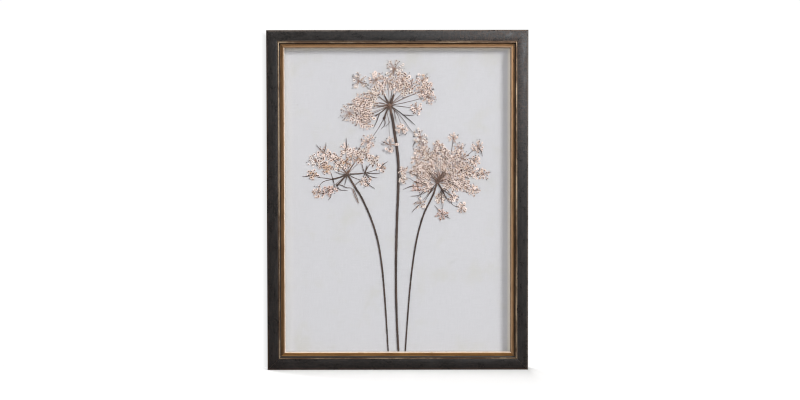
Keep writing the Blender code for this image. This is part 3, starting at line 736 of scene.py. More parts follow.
def cut(bm: bmesh.types.BMesh, place: tuple, normal: tuple, clear_outer: bool = False) -> None:
    """Cuts a whole mesh along a plane, and takes off what lies past it if asked."""
    everything = [*bm.verts, *bm.edges, *bm.faces]
    bmesh.ops.bisect_plane(bm, geom=everything, plane_co=place, plane_no=normal, clear_outer=clear_outer)


def thicken(bm: bmesh.types.BMesh, move: tuple) -> None:
    """Makes a flat mesh solid by extruding all its faces along a vector."""
    grown = bmesh.ops.extrude_face_region(bm, geom=list(bm.faces))
    far = [item for item in grown["geom"] if isinstance(item, bmesh.types.BMVert)]
    bmesh.ops.translate(bm, verts=far, vec=move)


def run_of(edge: bmesh.types.BMEdge, axis: str) -> float:
    """How far an edge runs along an axis."""
    first, second = edge.verts
    return abs(getattr(first.co, axis) - getattr(second.co, axis))


def random_spot(draw: random.Random) -> Vector:
    """A spot in the unit cube, which shifts a pattern from its neighbours'."""
    return Vector((draw.random(), draw.random(), draw.random()))


def settle(name: str, bm: bmesh.types.BMesh, materials: Iterable[bpy.types.Material],
           sharp_from: float = 40.0) -> bpy.types.Object:
    """Makes an object at the origin from a bmesh.

    Args:
        name: the object's name.
        bm: its mesh, which is freed.
        materials: its materials, in the order of the faces' material numbers.
        sharp_from: angle in degrees from which an edge stays sharp.

    Returns:
        The linked object, smooth, with its faces outwards.
    """
    bmesh.ops.recalc_face_normals(bm, faces=bm.faces)
    mesh = as_mesh(name, bm)
    for material in materials:
        mesh.materials.append(material)
    mesh.shade_smooth()
    mesh.set_sharp_from_angle(angle=math.radians(sharp_from))
    return put_in_scene(name, mesh)


def hand_over(piece: bpy.types.Object, slot: str, *nodes: str) -> bpy.types.Object:
    """Puts a finished piece on the body, in place of the solids that it stands for."""
    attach(piece, BODY)
    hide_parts(*nodes)
    return piece


def join(bm: bmesh.types.BMesh, part: bmesh.types.BMesh) -> None:
    """Adds a part to a mesh, and frees the part."""
    scratch = as_mesh("scratch", part)
    bm.from_mesh(scratch)
    bpy.data.meshes.remove(scratch)


def smooth_path(points: Sequence[Vector], steps: int, samples: int = 8) -> list[Vector]:
    """Evenly spaced points along a Catmull-Rom curve.

    Args:
        points: the points that the curve passes through.
        steps: how many equal stretches to part it into.
        samples: how many fine steps stand for the curve between two points.

    Returns:
        steps + 1 points, from the first given point to the last.
    """
    first = 2 * points[0] - points[1]
    last = 2 * points[-1] - points[-2]
    padded = [first, *points, last]
    fine = []
    for before, here, there, after in zip(padded, padded[1:], padded[2:], padded[3:]):
        for sample in range(samples):
            t = sample / samples
            bend = 2 * before - 5 * here + 4 * there - after
            twist = 3 * here - before - 3 * there + after
            fine.append(0.5 * (2 * here + (there - before) * t + bend * t * t + twist * t * t * t))
    fine.append(Vector(points[-1]))
    reached = [0.0]
    for this, following in zip(fine, fine[1:]):
        reached.append(reached[-1] + (following - this).length)
    path = [fine[0]]
    at = 0
    for step in range(1, steps):
        wanted = reached[-1] * step / steps
        while reached[at + 1] < wanted:
            at += 1
        share = (wanted - reached[at]) / (reached[at + 1] - reached[at])
        path.append(fine[at].lerp(fine[at + 1], share))
    return [*path, fine[-1]]


# ---------------------------------------------------------------- frame

@dataclass(frozen=True)
class Knot:
    """A corner of the moulding's section in millimetres: inset from the outer edge, depth from the
    front, and the length that its rounding takes of each side."""

    inset: float
    depth: float
    rounding: float = 0.0


class Stretch(Enum):
    """The finishes round the moulding's section, numbered as its materials."""

    LACQUER = 0
    BEAD = 1
    GROOVE = 2
    LIP = 3
    SIGHT_EDGE = 4
    BARE = 5


@dataclass(frozen=True)
class Trim:
    """What differs from rail to rail: the insets in millimetres of the bead's two sides and of the
    place from which the sight edge is worn, the share of the bead's leaf that is worn, and colours,
    some of which are lighter or darker copies that paint light and shade."""

    bead: tuple[float, float]
    sight_from: float
    wear: float
    arris_wear_and_light: Colour
    bead_wear_and_light: Colour
    lip: GiltLeaf
    sight: SightPaint

    def finishes(self) -> tuple:
        """The finishes round the section, in the order of Stretch."""
        lacquer = DarkLacquer(arris_wear_and_light=self.arris_wear_and_light, bead_wear_and_light=self.bead_wear_and_light)
        return lacquer, ChampagneLeaf(wear=self.wear), GrooveStain(), self.lip, self.sight, RawWood()


# Painted shade: a darker copy of the sight paint, for the top and right sight edges, which face away from the
# key lamp.
SHADED_SIGHT_PAINT = SightPaint((0.211, 0.139, 0.084), (0.144, 0.089, 0.051))
# Painted light: brighter copies of the gilt, one for the bottom rail's lip and one for the top rail's lip.
BOTTOM_LIT_GILT = GiltLeaf((0.385, 0.198, 0.070), (0.230, 0.110, 0.038))
LIT_GILT = GiltLeaf((0.280, 0.154, 0.070), (0.160, 0.082, 0.033))

# The top and right rails take lighter arris and bead-side colours: wear with painted light.
TRIMS: dict[str, Trim] = {
    "top": Trim((11.0, 12.80), 16.06, 0.09, (0.098, 0.074, 0.060), (0.116, 0.080, 0.057), LIT_GILT,
                SHADED_SIGHT_PAINT),
    "bottom": Trim((10.6, 11.85), 16.45, 0.05, (0.045, 0.021, 0.011), (0.036, 0.020, 0.011), BOTTOM_LIT_GILT,
                   SightPaint()),
    "left": Trim((11.0, 12.50), 16.62, 0.0, (0.036, 0.018, 0.009), (0.036, 0.020, 0.011), GiltLeaf(),
                 SightPaint()),
    "right": Trim((10.85, 12.25), 16.06, 0.0, (0.098, 0.078, 0.065), (0.170, 0.125, 0.094), GiltLeaf(),
                  SHADED_SIGHT_PAINT),
}


@dataclass
class Moulding:
    """Four mitred rails with a lacquered face, a beaded edge, a groove and a gilt sight lip.

    The wave's lengths, the mitre's gap, the cuts' spacing and the unevenness are in metres, and the
    sizes of the section in millimetres.
    """

    face: tuple[Knot, ...] = (Knot(0.0, 21.0, 0.25), Knot(0.0, 0.0, 1.2), Knot(8.6, 0.03, 2.0))
    lip: tuple[Knot, ...] = (
        Knot(13.3, 3.3, 0.25), Knot(14.3, 3.15, 0.3), Knot(14.6, 2.8, 0.3), Knot(16.05, 2.38),
        Knot(16.35, 2.3, 0.15), Knot(16.65, 2.58), Knot(17.3, 3.2, 0.2), Knot(17.3, 6.0, 0.1),
        Knot(12.2, 6.0), Knot(12.2, 21.0, 0.25),
    )
    groove_end: float = 13.0
    groove_floor: float = 0.35
    rounding_steps: int = 4
    mitre_gap: float = 0.00008
    cut_spacing: float = 0.012
    unevenness: float = 0.00007
    wave: Range = (0.05, 0.012)
    wave_shift: float = 7.0
    grain_shift: float = 0.7
    bead_depth: float = 0.95
    lip_back: float = 5.95
    back: float = 20.7
    margin: float = 0.02
    wide_margin: float = 0.05

    def floor_end(self, trim: Trim) -> float:
        """The inset in millimetres at which the groove's floor ends."""
        return max(self.groove_end, trim.bead[1] + self.groove_floor)

    def section(self, start: float, trim: Trim) -> bmesh.types.BMesh:
        """The rounded section as one face across X at the given start."""
        outer, inner = trim.bead
        beading = (
            Knot(outer - 0.3, 0.28, 0.3), Knot(outer - 0.05, 0.6), Knot(outer, 0.0, 0.45),
            Knot(inner, 0.0, 0.45), Knot(inner + 0.17, 3.5, 0.15), Knot(self.floor_end(trim), 3.8, 0.15),
        )
        knots = (*self.face, *beading, *self.lip)
        bm = bmesh.new()
        corners = [bm.verts.new((start, FRONT + knot.depth * MM, -knot.inset * MM)) for knot in knots]
        bm.faces.new(corners)
        for rounding in sorted({knot.rounding for knot in knots if knot.rounding}):
            sharp = [corner for corner, knot in zip(corners, knots) if knot.rounding == rounding]
            bevel(bm, sharp, rounding * MM, self.rounding_steps, "VERTICES", True)
        return bm

    def stretch_at(self, face: bmesh.types.BMFace, trim: Trim) -> Stretch:
        """The finish of a face, by where its middle lies on the section.

        Args:
            face: a face of a rail that lies along X.
            trim: the rail's own sizes.

        Returns:
            The finish.
        """
        middle = face.calc_center_median()
        inset = -middle.z / MM
        depth = (middle.y - FRONT) / MM
        cut_end = abs(face.normal.x) > 0.5
        behind_lip = depth > self.lip_back and inset > self.wide_margin
        if cut_end or behind_lip or depth > self.back:
            return Stretch.BARE
        if inset < trim.bead[0] - self.margin:
            return Stretch.LACQUER
        if inset < trim.bead[1] + self.wide_margin and depth < self.bead_depth:
            return Stretch.BEAD
        if inset < self.floor_end(trim) + self.margin:
            return Stretch.GROOVE
        return Stretch.LIP if inset < trim.sight_from else Stretch.SIGHT_EDGE

    def rail(self, length: float, number: int, trim: Trim) -> bmesh.types.BMesh:
        """One rail lying along X with its outer edge up, at height 0.

        Args:
            length: length of its outer edge.
            number: the rail's number, which shifts its grain from the others'.
            trim: the rail's own sizes.

        Returns:
            Its mesh, with UVs in metres along the rail and round the section.
        """
        half = length / 2
        bm = self.section(-half, trim)
        thicken(bm, (length, 0.0, 0.0))
        cuts = round(length / self.cut_spacing)
        for index in range(1, cuts):
            cut(bm, (length * index / cuts - half, 0.0, 0.0), (1.0, 0.0, 0.0))
        along, across = self.wave
        for vert in bm.verts:
            spot = Vector((vert.co.x / along, number * self.wave_shift, vert.co.z / across))
            vert.co.y += self.unevenness * noise.noise(spot)
        for sign in (-1, 1):
            cut(bm, (sign * (half - self.mitre_gap), 0.0, 0.0), (sign, 0.0, -1.0), True)
            rim = [edge for edge in bm.edges if edge.is_boundary]
            bmesh.ops.edgeloop_fill(bm, edges=rim)
        bmesh.ops.recalc_face_normals(bm, faces=bm.faces)
        uv = bm.loops.layers.uv.new("along_rail")
        for face in bm.faces:
            face.material_index = self.stretch_at(face, trim).value
            for loop in face.loops:
                spot = loop.vert.co
                loop[uv].uv = (spot.x + number * self.grain_shift, -spot.z - (spot.y - FRONT))
        return bm

    def build(self) -> list[bpy.types.Object]:
        """Builds the four rails."""
        quarter = math.pi / 2
        places = (
            ("top", WIDTH, 0.0, (0.0, HEIGHT)),
            ("bottom", WIDTH, math.pi, (0.0, 0.0)),
            ("left", HEIGHT, -quarter, (-WIDTH / 2, HEIGHT / 2)),
            ("right", HEIGHT, quarter, (WIDTH / 2, HEIGHT / 2)),
        )
        pieces = []
        for number, (side, length, turn, (x, z)) in enumerate(places):
            trim = TRIMS[side]
            bm = self.rail(length, number, trim)
            move = Matrix.Translation((x, 0.0, z)) @ Matrix.Rotation(turn, 4, "Y")
            bmesh.ops.transform(bm, matrix=move, verts=bm.verts)
            materials = [finish.make() for finish in trim.finishes()]
            piece = settle(f"moulding_{side}", bm, materials)
            pieces.append(hand_over(piece, "dark_moulding", f"rail_{side}"))
        return pieces


@dataclass
class Glazing:
    """The flat sheets in the rabbet, which keep their solids and get their finishes here."""

    sheets: dict[str, object] = field(default_factory=lambda: {
        "glass_pane": PaneGlass(), "mount_board": LinenPaper(), "back_board": Hardboard(),
    })

    def build(self) -> list[bpy.types.Object]:
        """Dresses the pane, the boards and the spacer strips."""
        materials = {node: finish.make() for node, finish in self.sheets.items()}
        strip = SpacerPlastic().make()
        materials.update({f"spacer_{side}": strip for side in ("top", "bottom", "left", "right")})
        pieces = []
        for node, material in materials.items():
            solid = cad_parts[node]
            solid.material_slots[0].material = material
            pieces.append(solid)
        return pieces


@dataclass
class BackHardware:
    """Framer's points, the sawtooth hanger with its pins, and the felt bumpers."""

    edge: float = 0.00012
    sharp_angle: float = 1.2
    point_corner: float = 1.4 * MM
    rib_inset: float = 0.35 * MM
    rib_height: float = 0.14 * MM
    strip_corner: float = 1.2 * MM
    tooth_pitch: float = 0.0024
    tooth_height: float = 0.0014
    foot: float = 0.0080
    stand: float = 0.0010
    thickness: float = 0.0008
    pin_head_radius: float = 0.0016
    pin_head_height: float = 0.0007
    pin_sides: int = 24
    shank: float = 0.0007
    dome: tuple[float, ...] = (0.0, 0.35, 0.75, 1.15)
    bumper_sides: int = 40
    bumper_edge: float = 0.0005
    nap_size: float = 0.0011
    nap_depth: float = 0.00010

    def point(self, node: str, steel: bpy.types.Material) -> bpy.types.Object:
        """A flat steel point with rounded corners and a stamped rib, in place of its solid."""
        low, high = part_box(node)
        size = high - low
        bm = bmesh.new()
        bmesh.ops.create_cube(bm, size=1.0)
        bmesh.ops.scale(bm, verts=bm.verts, vec=size)
        corners = [edge for edge in bm.edges if run_of(edge, "y") > 0.5 * size.y]
        bevel(bm, corners, self.point_corner, 4)
        faces = [face for face in bm.faces if abs(face.normal.y) > 0.9]
        bmesh.ops.inset_region(bm, faces=faces, thickness=self.point_corner, depth=0.0)
        bmesh.ops.inset_region(bm, faces=faces, thickness=self.rib_inset, depth=self.rib_height)
        around = [edge for edge in bm.edges if edge.calc_face_angle(0.0) > self.sharp_angle]
        bevel(bm, around, self.edge, 2)
        bmesh.ops.translate(bm, verts=bm.verts, vec=(low + high) / 2)
        return hand_over(settle(f"steel_{node}", bm, [steel]), "zinc_steel", node)

    def hanger(self, steel: bpy.types.Material) -> bpy.types.Object:
        """The toothed strip: cut out flat, bent up between its feet, and broken at its edges."""
        low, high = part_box("sawtooth_hanger")
        half = (high.x - low.x) / 2
        foot_end = half - self.foot
        tooth_count = int(2 * (foot_end - 2 * self.stand) / self.tooth_pitch)
        start = -tooth_count * self.tooth_pitch / 2
        bm = bmesh.new()
        outline = [(-half, low.z), (start, low.z)]
        for index in range(tooth_count):
            outline.append((start + (index + 0.5) * self.tooth_pitch, low.z + self.tooth_height))
            if index < tooth_count - 1:
                outline.append((start + (index + 1) * self.tooth_pitch, low.z))
        outline += [(-start, low.z), (half, low.z), (half, high.z), (-half, high.z)]
        face = bm.faces.new([bm.verts.new((x, low.y, z)) for x, z in outline])
        corners = [vert for vert in face.verts if abs(vert.co.x) > half - self.edge]
        bevel(bm, corners, self.strip_corner, 4, "VERTICES")
        bends = [foot_end, foot_end - 0.5 * self.stand, foot_end - self.stand]
        for x in [*bends, *(-bend for bend in bends)]:
            cut(bm, (x, 0.0, 0.0), (1.0, 0.0, 0.0))
        for vert in bm.verts:
            share = (foot_end - abs(vert.co.x)) / self.stand
            share = min(1.0, max(0.0, share))
            vert.co.y += self.stand * share * share * (3 - 2 * share)
        thicken(bm, (0.0, self.thickness, 0.0))
        around = [edge for edge in bm.edges if edge.calc_face_angle(0.0) > self.sharp_angle
                  and run_of(edge, "y") < 0.5 * self.thickness]
        bevel(bm, around, self.edge, 2)
        return hand_over(settle("toothed_strip", bm, [steel], 30.0), "zinc_steel", "sawtooth_hanger")

    def turned(self, profile: Sequence[tuple[float, float]], centre: Vector, steps: int) -> bmesh.types.BMesh:
        """A closed turned shape.

        Args:
            profile: radius and Y of each point, from axis to axis.
            centre: a point of the axis, which runs along Y.
            steps: how many sides it has.

        Returns:
            The mesh in place.
        """
        bm = bmesh.new()
        verts = [bm.verts.new((centre.x + radius, y, centre.z)) for radius, y in profile]
        edges = [bm.edges.new(pair) for pair in zip(verts, verts[1:])]
        bmesh.ops.spin(bm, geom=[*verts, *edges], cent=centre, axis=(0.0, 1.0, 0.0), angle=math.tau,
                       steps=steps, use_merge=True)
        bmesh.ops.remove_doubles(bm, verts=bm.verts, dist=0.000001)
        return bm

    def pin(self, side: str, steel: bpy.types.Material) -> bpy.types.Object:
        """A small nail with a domed head."""
        low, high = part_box(f"hanger_pin_{side}")
        centre = (low + high) / 2
        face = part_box("sawtooth_hanger")[1].y - self.stand
        dome = [(self.pin_head_radius * math.cos(angle), face + self.pin_head_height * math.sin(angle))
                for angle in self.dome]
        profile = [(0.0, low.y), (0.5 * self.shank, low.y + 0.0008), (self.shank, low.y + 0.0020),
                   (self.shank, face), (self.pin_head_radius - 0.0001, face), *dome,
                   (0.0, face + self.pin_head_height)]
        bm = self.turned(profile, centre, self.pin_sides)
        return hand_over(settle(f"nail_{side}", bm, [steel]), "zinc_steel", f"hanger_pin_{side}")

    def bumper(self, side: str, felt: bpy.types.Material) -> bpy.types.Object:
        """A felt disc with soft edges and an uneven nap."""
        low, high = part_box(f"bumper_{side}")
        centre = (low + high) / 2
        radius = (high.x - low.x) / 2
        soft = self.bumper_edge
        profile = [(0.0, low.y), (0.5 * radius, low.y), (radius - soft, low.y), (radius, low.y + soft),
                   (radius, high.y - soft), (radius - 0.3 * soft, high.y - 0.3 * soft),
                   (radius - soft, high.y), (0.7 * radius, high.y), (0.35 * radius, high.y), (0.0, high.y)]
        bm = self.turned(profile, centre, self.bumper_sides)
        for vert in bm.verts:
            nap = noise.noise(vert.co / self.nap_size) - 0.5
            vert.co += (vert.co - centre).normalized() * self.nap_depth * nap
        return hand_over(settle(f"felt_bumper_{side}", bm, [felt], 60.0), "felt_pad", f"bumper_{side}")

    def build(self) -> list[bpy.types.Object]:
        """Builds all the fittings on the back."""
        steel = ZincSteel().make()
        felt = BumperFelt().make()
        sides = ("top", "bottom", "left", "right")
        pieces = [self.point(f"point_{side}_{index}", steel) for side in sides for index in (1, 2)]
        pieces.append(self.hanger(steel))
        pieces += [self.pin(side, steel) for side in ("left", "right")]
        pieces += [self.bumper(side, felt) for side in ("left", "right")]
        return pieces


# ---------------------------------------------------------------- plants

class Skin(Enum):
    """The materials of a plant, numbered as on its mesh."""

    BARK = 0
    PETAL = 1
    HEART = 2


class Tone(Enum):
    """A cluster's place on the scale of dried petal colours."""

    PALE = 0.0
    CREAM = 0.2
    PINK = 0.4
    DUSKY = 0.6
    TAN = 0.8
    MAUVE = 1.0


@dataclass(frozen=True)
class Spread:
    """How a cluster's florets lie.

    Florets is their number over the square of the cluster's radius in pixels, nearest the share of
    that radius at which the first stands, buds the number of bare buds round its rim over that radius,
    and the rest are half sizes in metres.
    """

    florets: float
    nearest: float
    buds: float
    petal: float
    heart: float
    stalk: float


class Look(Enum):
    """How far a cluster is opened out: petals that hide their stalks, or a star of bare stalks."""

    FULL = Spread(0.37, 0.08, 0.95, 0.00176, 0.00058, 0.00009)
    OPEN = Spread(0.30, 0.16, 1.2, 0.00168, 0.00051, 0.00009)
    STAR = Spread(0.23, 0.24, 1.6, 0.00158, 0.00049, 0.00010)


@dataclass(frozen=True)
class Ray:
    """A ray of an umbel, from the hub or its start through its via points to its cluster of florets.

    The points and the cluster's radius are in pixels of the picture. A lift, in metres, carries it
    over a stem.
    """

    tip: Pixel
    radius: float
    via: tuple[Pixel, ...] = ()
    start: Optional[Pixel] = None
    lift: float = 0.0
    look: Look = Look.FULL
    tone: Optional[Tone] = None


@dataclass(frozen=True)
class Twig:
    """A bare bract, broken ray or stalk, in pixels, with its half width at each end and its paleness."""

    points: tuple[Pixel, ...]
    start: Optional[Pixel] = None
    widths: tuple[float, float] = (0.50, 0.20)
    height: float = 0.0009
    tint: float = 0.1


@dataclass(frozen=True)
class Head:
    """One umbel: its hub, the usual tone of its clusters, its forks, rays and twigs.

    Fineness is the area of its florets, which are the more numerous the smaller it is. The hub's and
    the forks' radii and the rays' half width are in pixels.
    """

    hub: Pixel
    hub_radius: float
    hub_tint: float
    ray_width: float
    fineness: float
    tone: Tone
    knots: tuple[tuple[Pixel, float], ...]
    rays: tuple[Ray, ...]
    twigs: tuple[Twig, ...]


LIFT = 0.0019

MIDDLE_HEAD = Head(
    hub=(389.2, 105.5), hub_radius=5.0, hub_tint=0.34, ray_width=0.28, fineness=0.98, tone=Tone.PINK,
    knots=(((383.6, 118.4), 1.4),),
    rays=(
        Ray((358.5, 81.5), 8.5, ((376, 94.5), (366, 87)), look=Look.STAR, tone=Tone.PALE),
        Ray((376, 80), 8, look=Look.OPEN),
        Ray((387, 82), 6),
        Ray((373, 94), 7, tone=Tone.CREAM),
        Ray((381, 91), 5.5, ((385, 98),)),
        Ray((394, 69), 9.5, ((391.5, 90),), look=Look.STAR, tone=Tone.PALE),
        Ray((402, 80), 8, tone=Tone.DUSKY),
        Ray((396, 87), 6.5),
        Ray((405, 90), 7, ((397.5, 97.5),), tone=Tone.CREAM),
        Ray((411, 85), 5, look=Look.OPEN),
        Ray((422, 81), 7, look=Look.OPEN, tone=Tone.DUSKY),
        Ray((421, 92), 7, ((404, 98), (414, 94.5)), look=Look.OPEN),
        Ray((427, 88), 6),
        Ray((428, 97), 8, ((400, 103.8), (410, 101.5), (420, 99)), look=Look.STAR),
        Ray((416, 109), 6.5, ((399, 106.6), (406, 107.4)), look=Look.OPEN),
        Ray((363, 100), 8),
        Ray((354, 105), 6),
        Ray((349, 113.5), 9.5, look=Look.STAR, tone=Tone.PALE),
        Ray((364, 108.5), 7),
        Ray((372, 103), 5.5, ((380, 103),), tone=Tone.CREAM),
        Ray((359, 118), 9),
        Ray((368, 115.5), 6.5, ((380, 110.5),)),
        Ray((366, 124), 6.5, look=Look.OPEN),
        Ray((401, 129), 6, ((395.8, 113), (399, 120.5)), lift=LIFT, look=Look.OPEN),
        Ray((367.2, 141.6), 7.6, ((377.5, 129), (373, 135.5)), start=(383.6, 118.4), look=Look.OPEN),
        Ray((389.6, 145), 7.6, ((386.4, 112), (388.2, 121), (388.6, 134)), lift=LIFT, look=Look.STAR),
        Ray((419.5, 136.5), 7.5, ((396.6, 112.6), (402.5, 119.5), (411.5, 132)), lift=0.0006,
            look=Look.OPEN, tone=Tone.PALE),
    ),
    twigs=(
        Twig(((400, 113), (409, 120.3), (414.5, 125.5)), widths=(0.55, 0.32), tint=0.0),
        Twig(((407, 115.4), (413.5, 115.6)), start=(402.5, 115)),
        Twig(((379, 113.6), (374, 115.8)), widths=(0.9, 0.4)),
        Twig(((377.4, 118), (375.8, 122.5), (372.5, 129)), start=(379.2, 113.6)),
        Twig(((393.8, 111.2), (394.6, 117), (395.8, 122.4)), start=(391.4, 106)),
        Twig(((386, 112), (383.6, 118.4)), widths=(0.9, 0.8)),
        Twig(((380, 106.4), (374, 105.2))),
        Twig(((384.6, 124), (380.5, 129.5)), start=(383.6, 118.4)),
        Twig(((388, 124), (389.5, 121)), start=(384, 127), widths=(0.2, 0.3)),
        Twig(((412, 147),), start=(414.6, 141.5), widths=(0.5, 0.25)),
        Twig(((391.6, 100), (393.2, 94.6)), widths=(1.6, 1.0)),
        Twig(((386.6, 101), (383.8, 95.6)), widths=(1.3, 0.7)),
    ),
)

LEFT_HEAD = Head(
    hub=(346.8, 174.2), hub_radius=3.8, hub_tint=0.12, ray_width=0.32, fineness=0.94, tone=Tone.PINK,
    knots=(((332.2, 179.3), 1.2), ((364.6, 173.2), 1.1), ((336.6, 185.2), 1.2)),
    rays=(
        Ray((323, 153), 6.5, ((338, 165), (331, 158.5)), look=Look.OPEN),
        Ray((314, 160.5), 7, look=Look.OPEN, tone=Tone.PALE),
        Ray((322, 163.5), 5.5, look=Look.OPEN),
        Ray((312.5, 174.5), 5.5, ((323, 178), (317, 177.2)), start=(332.2, 179.3), tone=Tone.TAN),
        Ray((326.5, 168), 6, ((330.2, 173),), start=(332.2, 179.3), tone=Tone.TAN),
        Ray((331, 156.5), 5),
        Ray((337, 159.5), 5.5, look=Look.OPEN),
        Ray((338.5, 166.5), 5, look=Look.OPEN, tone=Tone.CREAM),
        Ray((345, 150), 6, look=Look.OPEN),
        Ray((352, 153), 6, tone=Tone.DUSKY),
        Ray((345.5, 162.5), 5.8, ((346.2, 168),), tone=Tone.TAN),
        Ray((357.5, 158.5), 5.5, ((351, 166.5),), tone=Tone.TAN),
        Ray((361.5, 151.5), 4.5, tone=Tone.CREAM),
        Ray((366, 154.8), 5),
        Ray((373, 160.5), 5.5, ((367.4, 167),), start=(364.6, 173.2), tone=Tone.CREAM),
        Ray((381, 168), 5, ((372, 171),), start=(364.6, 173.2), look=Look.OPEN),
        Ray((364.5, 181.5), 5.5, ((353, 177.6), (358, 179.6)), look=Look.OPEN),
        Ray((318, 192.5), 6.5, ((324, 181.2), (319.4, 185)), start=(332.2, 179.3), look=Look.OPEN),
        Ray((327, 191), 5.5, tone=Tone.MAUVE),
        Ray((333, 189.5), 4, ((336.6, 185.2),), start=(338.4, 183.2), tone=Tone.MAUVE),
    ),
    twigs=(
        Twig(((339, 177.4), (332.2, 179.3)), widths=(0.9, 0.8)),
        Twig(((356, 173.9), (364.6, 173.2)), widths=(0.8, 0.5)),
        Twig(((365.6, 170), (362.4, 177.6)), start=(366.4, 165.6), widths=(0.5, 0.3)),
        Twig(((341.6, 180), (336.6, 185.2)), widths=(0.9, 0.8)),
        Twig(((307, 176.3), (301.5, 176.4)), start=(312, 175.4)),
        Twig(((325.2, 147), (325.4, 142.3)), start=(323.6, 152)),
        Twig(((318.5, 148), (315.5, 144.5)), start=(321.6, 152)),
        Twig(((345.9, 143.5), (345.5, 137.5)), start=(345.4, 149)),
        Twig(((371, 173.4), (378.5, 173.7)), start=(365, 173.2)),
        Twig(((371, 177), (377, 178)), start=(365, 174)),
        Twig(((368, 177.6), (371.8, 180.9)), start=(364.8, 174.4)),
        Twig(((365.6, 168.5), (366.2, 165.5)), start=(364.6, 172.6)),
        Twig(((383.5, 164), (387.5, 161.5)), start=(380.6, 167)),
        Twig(((370, 186.2), (374.3, 188.8)), start=(365.4, 182.4)),
        Twig(((341.2, 185.4), (346, 187.8), (349.8, 187.8), (352.2, 189.6)), start=(337.5, 184.6)),
        Twig(((354.0, 195.6), (357.6, 203.2)), start=(351.9, 188.6), widths=(0.40, 0.30), tint=0.75),
        Twig(((355.5, 195.2), (358.0, 203.4)), start=(352.5, 188.6), widths=(0.36, 0.28), tint=0.20),
        Twig(((339, 189.6), (347, 190.4)), start=(336.6, 185.8)),
        Twig(((345, 181.5), (343.7, 185.8))),
        Twig(((333.4, 183), (333.8, 186.8), (337, 191.5)), start=(332.2, 179.8)),
        Twig(((361.6, 166), (361, 160)), start=(363.6, 172.4)),
        Twig(((330, 197), (327.2, 200.6)), start=(330.5, 192.6)),
        Twig(((340, 174), (334, 171.8))),
        Twig(((358, 182), (361, 181)), start=(354, 186), widths=(0.35, 0.3)),
        Twig(((359, 148), (361, 146)), start=(355, 154), widths=(0.35, 0.3)),
    ),
)

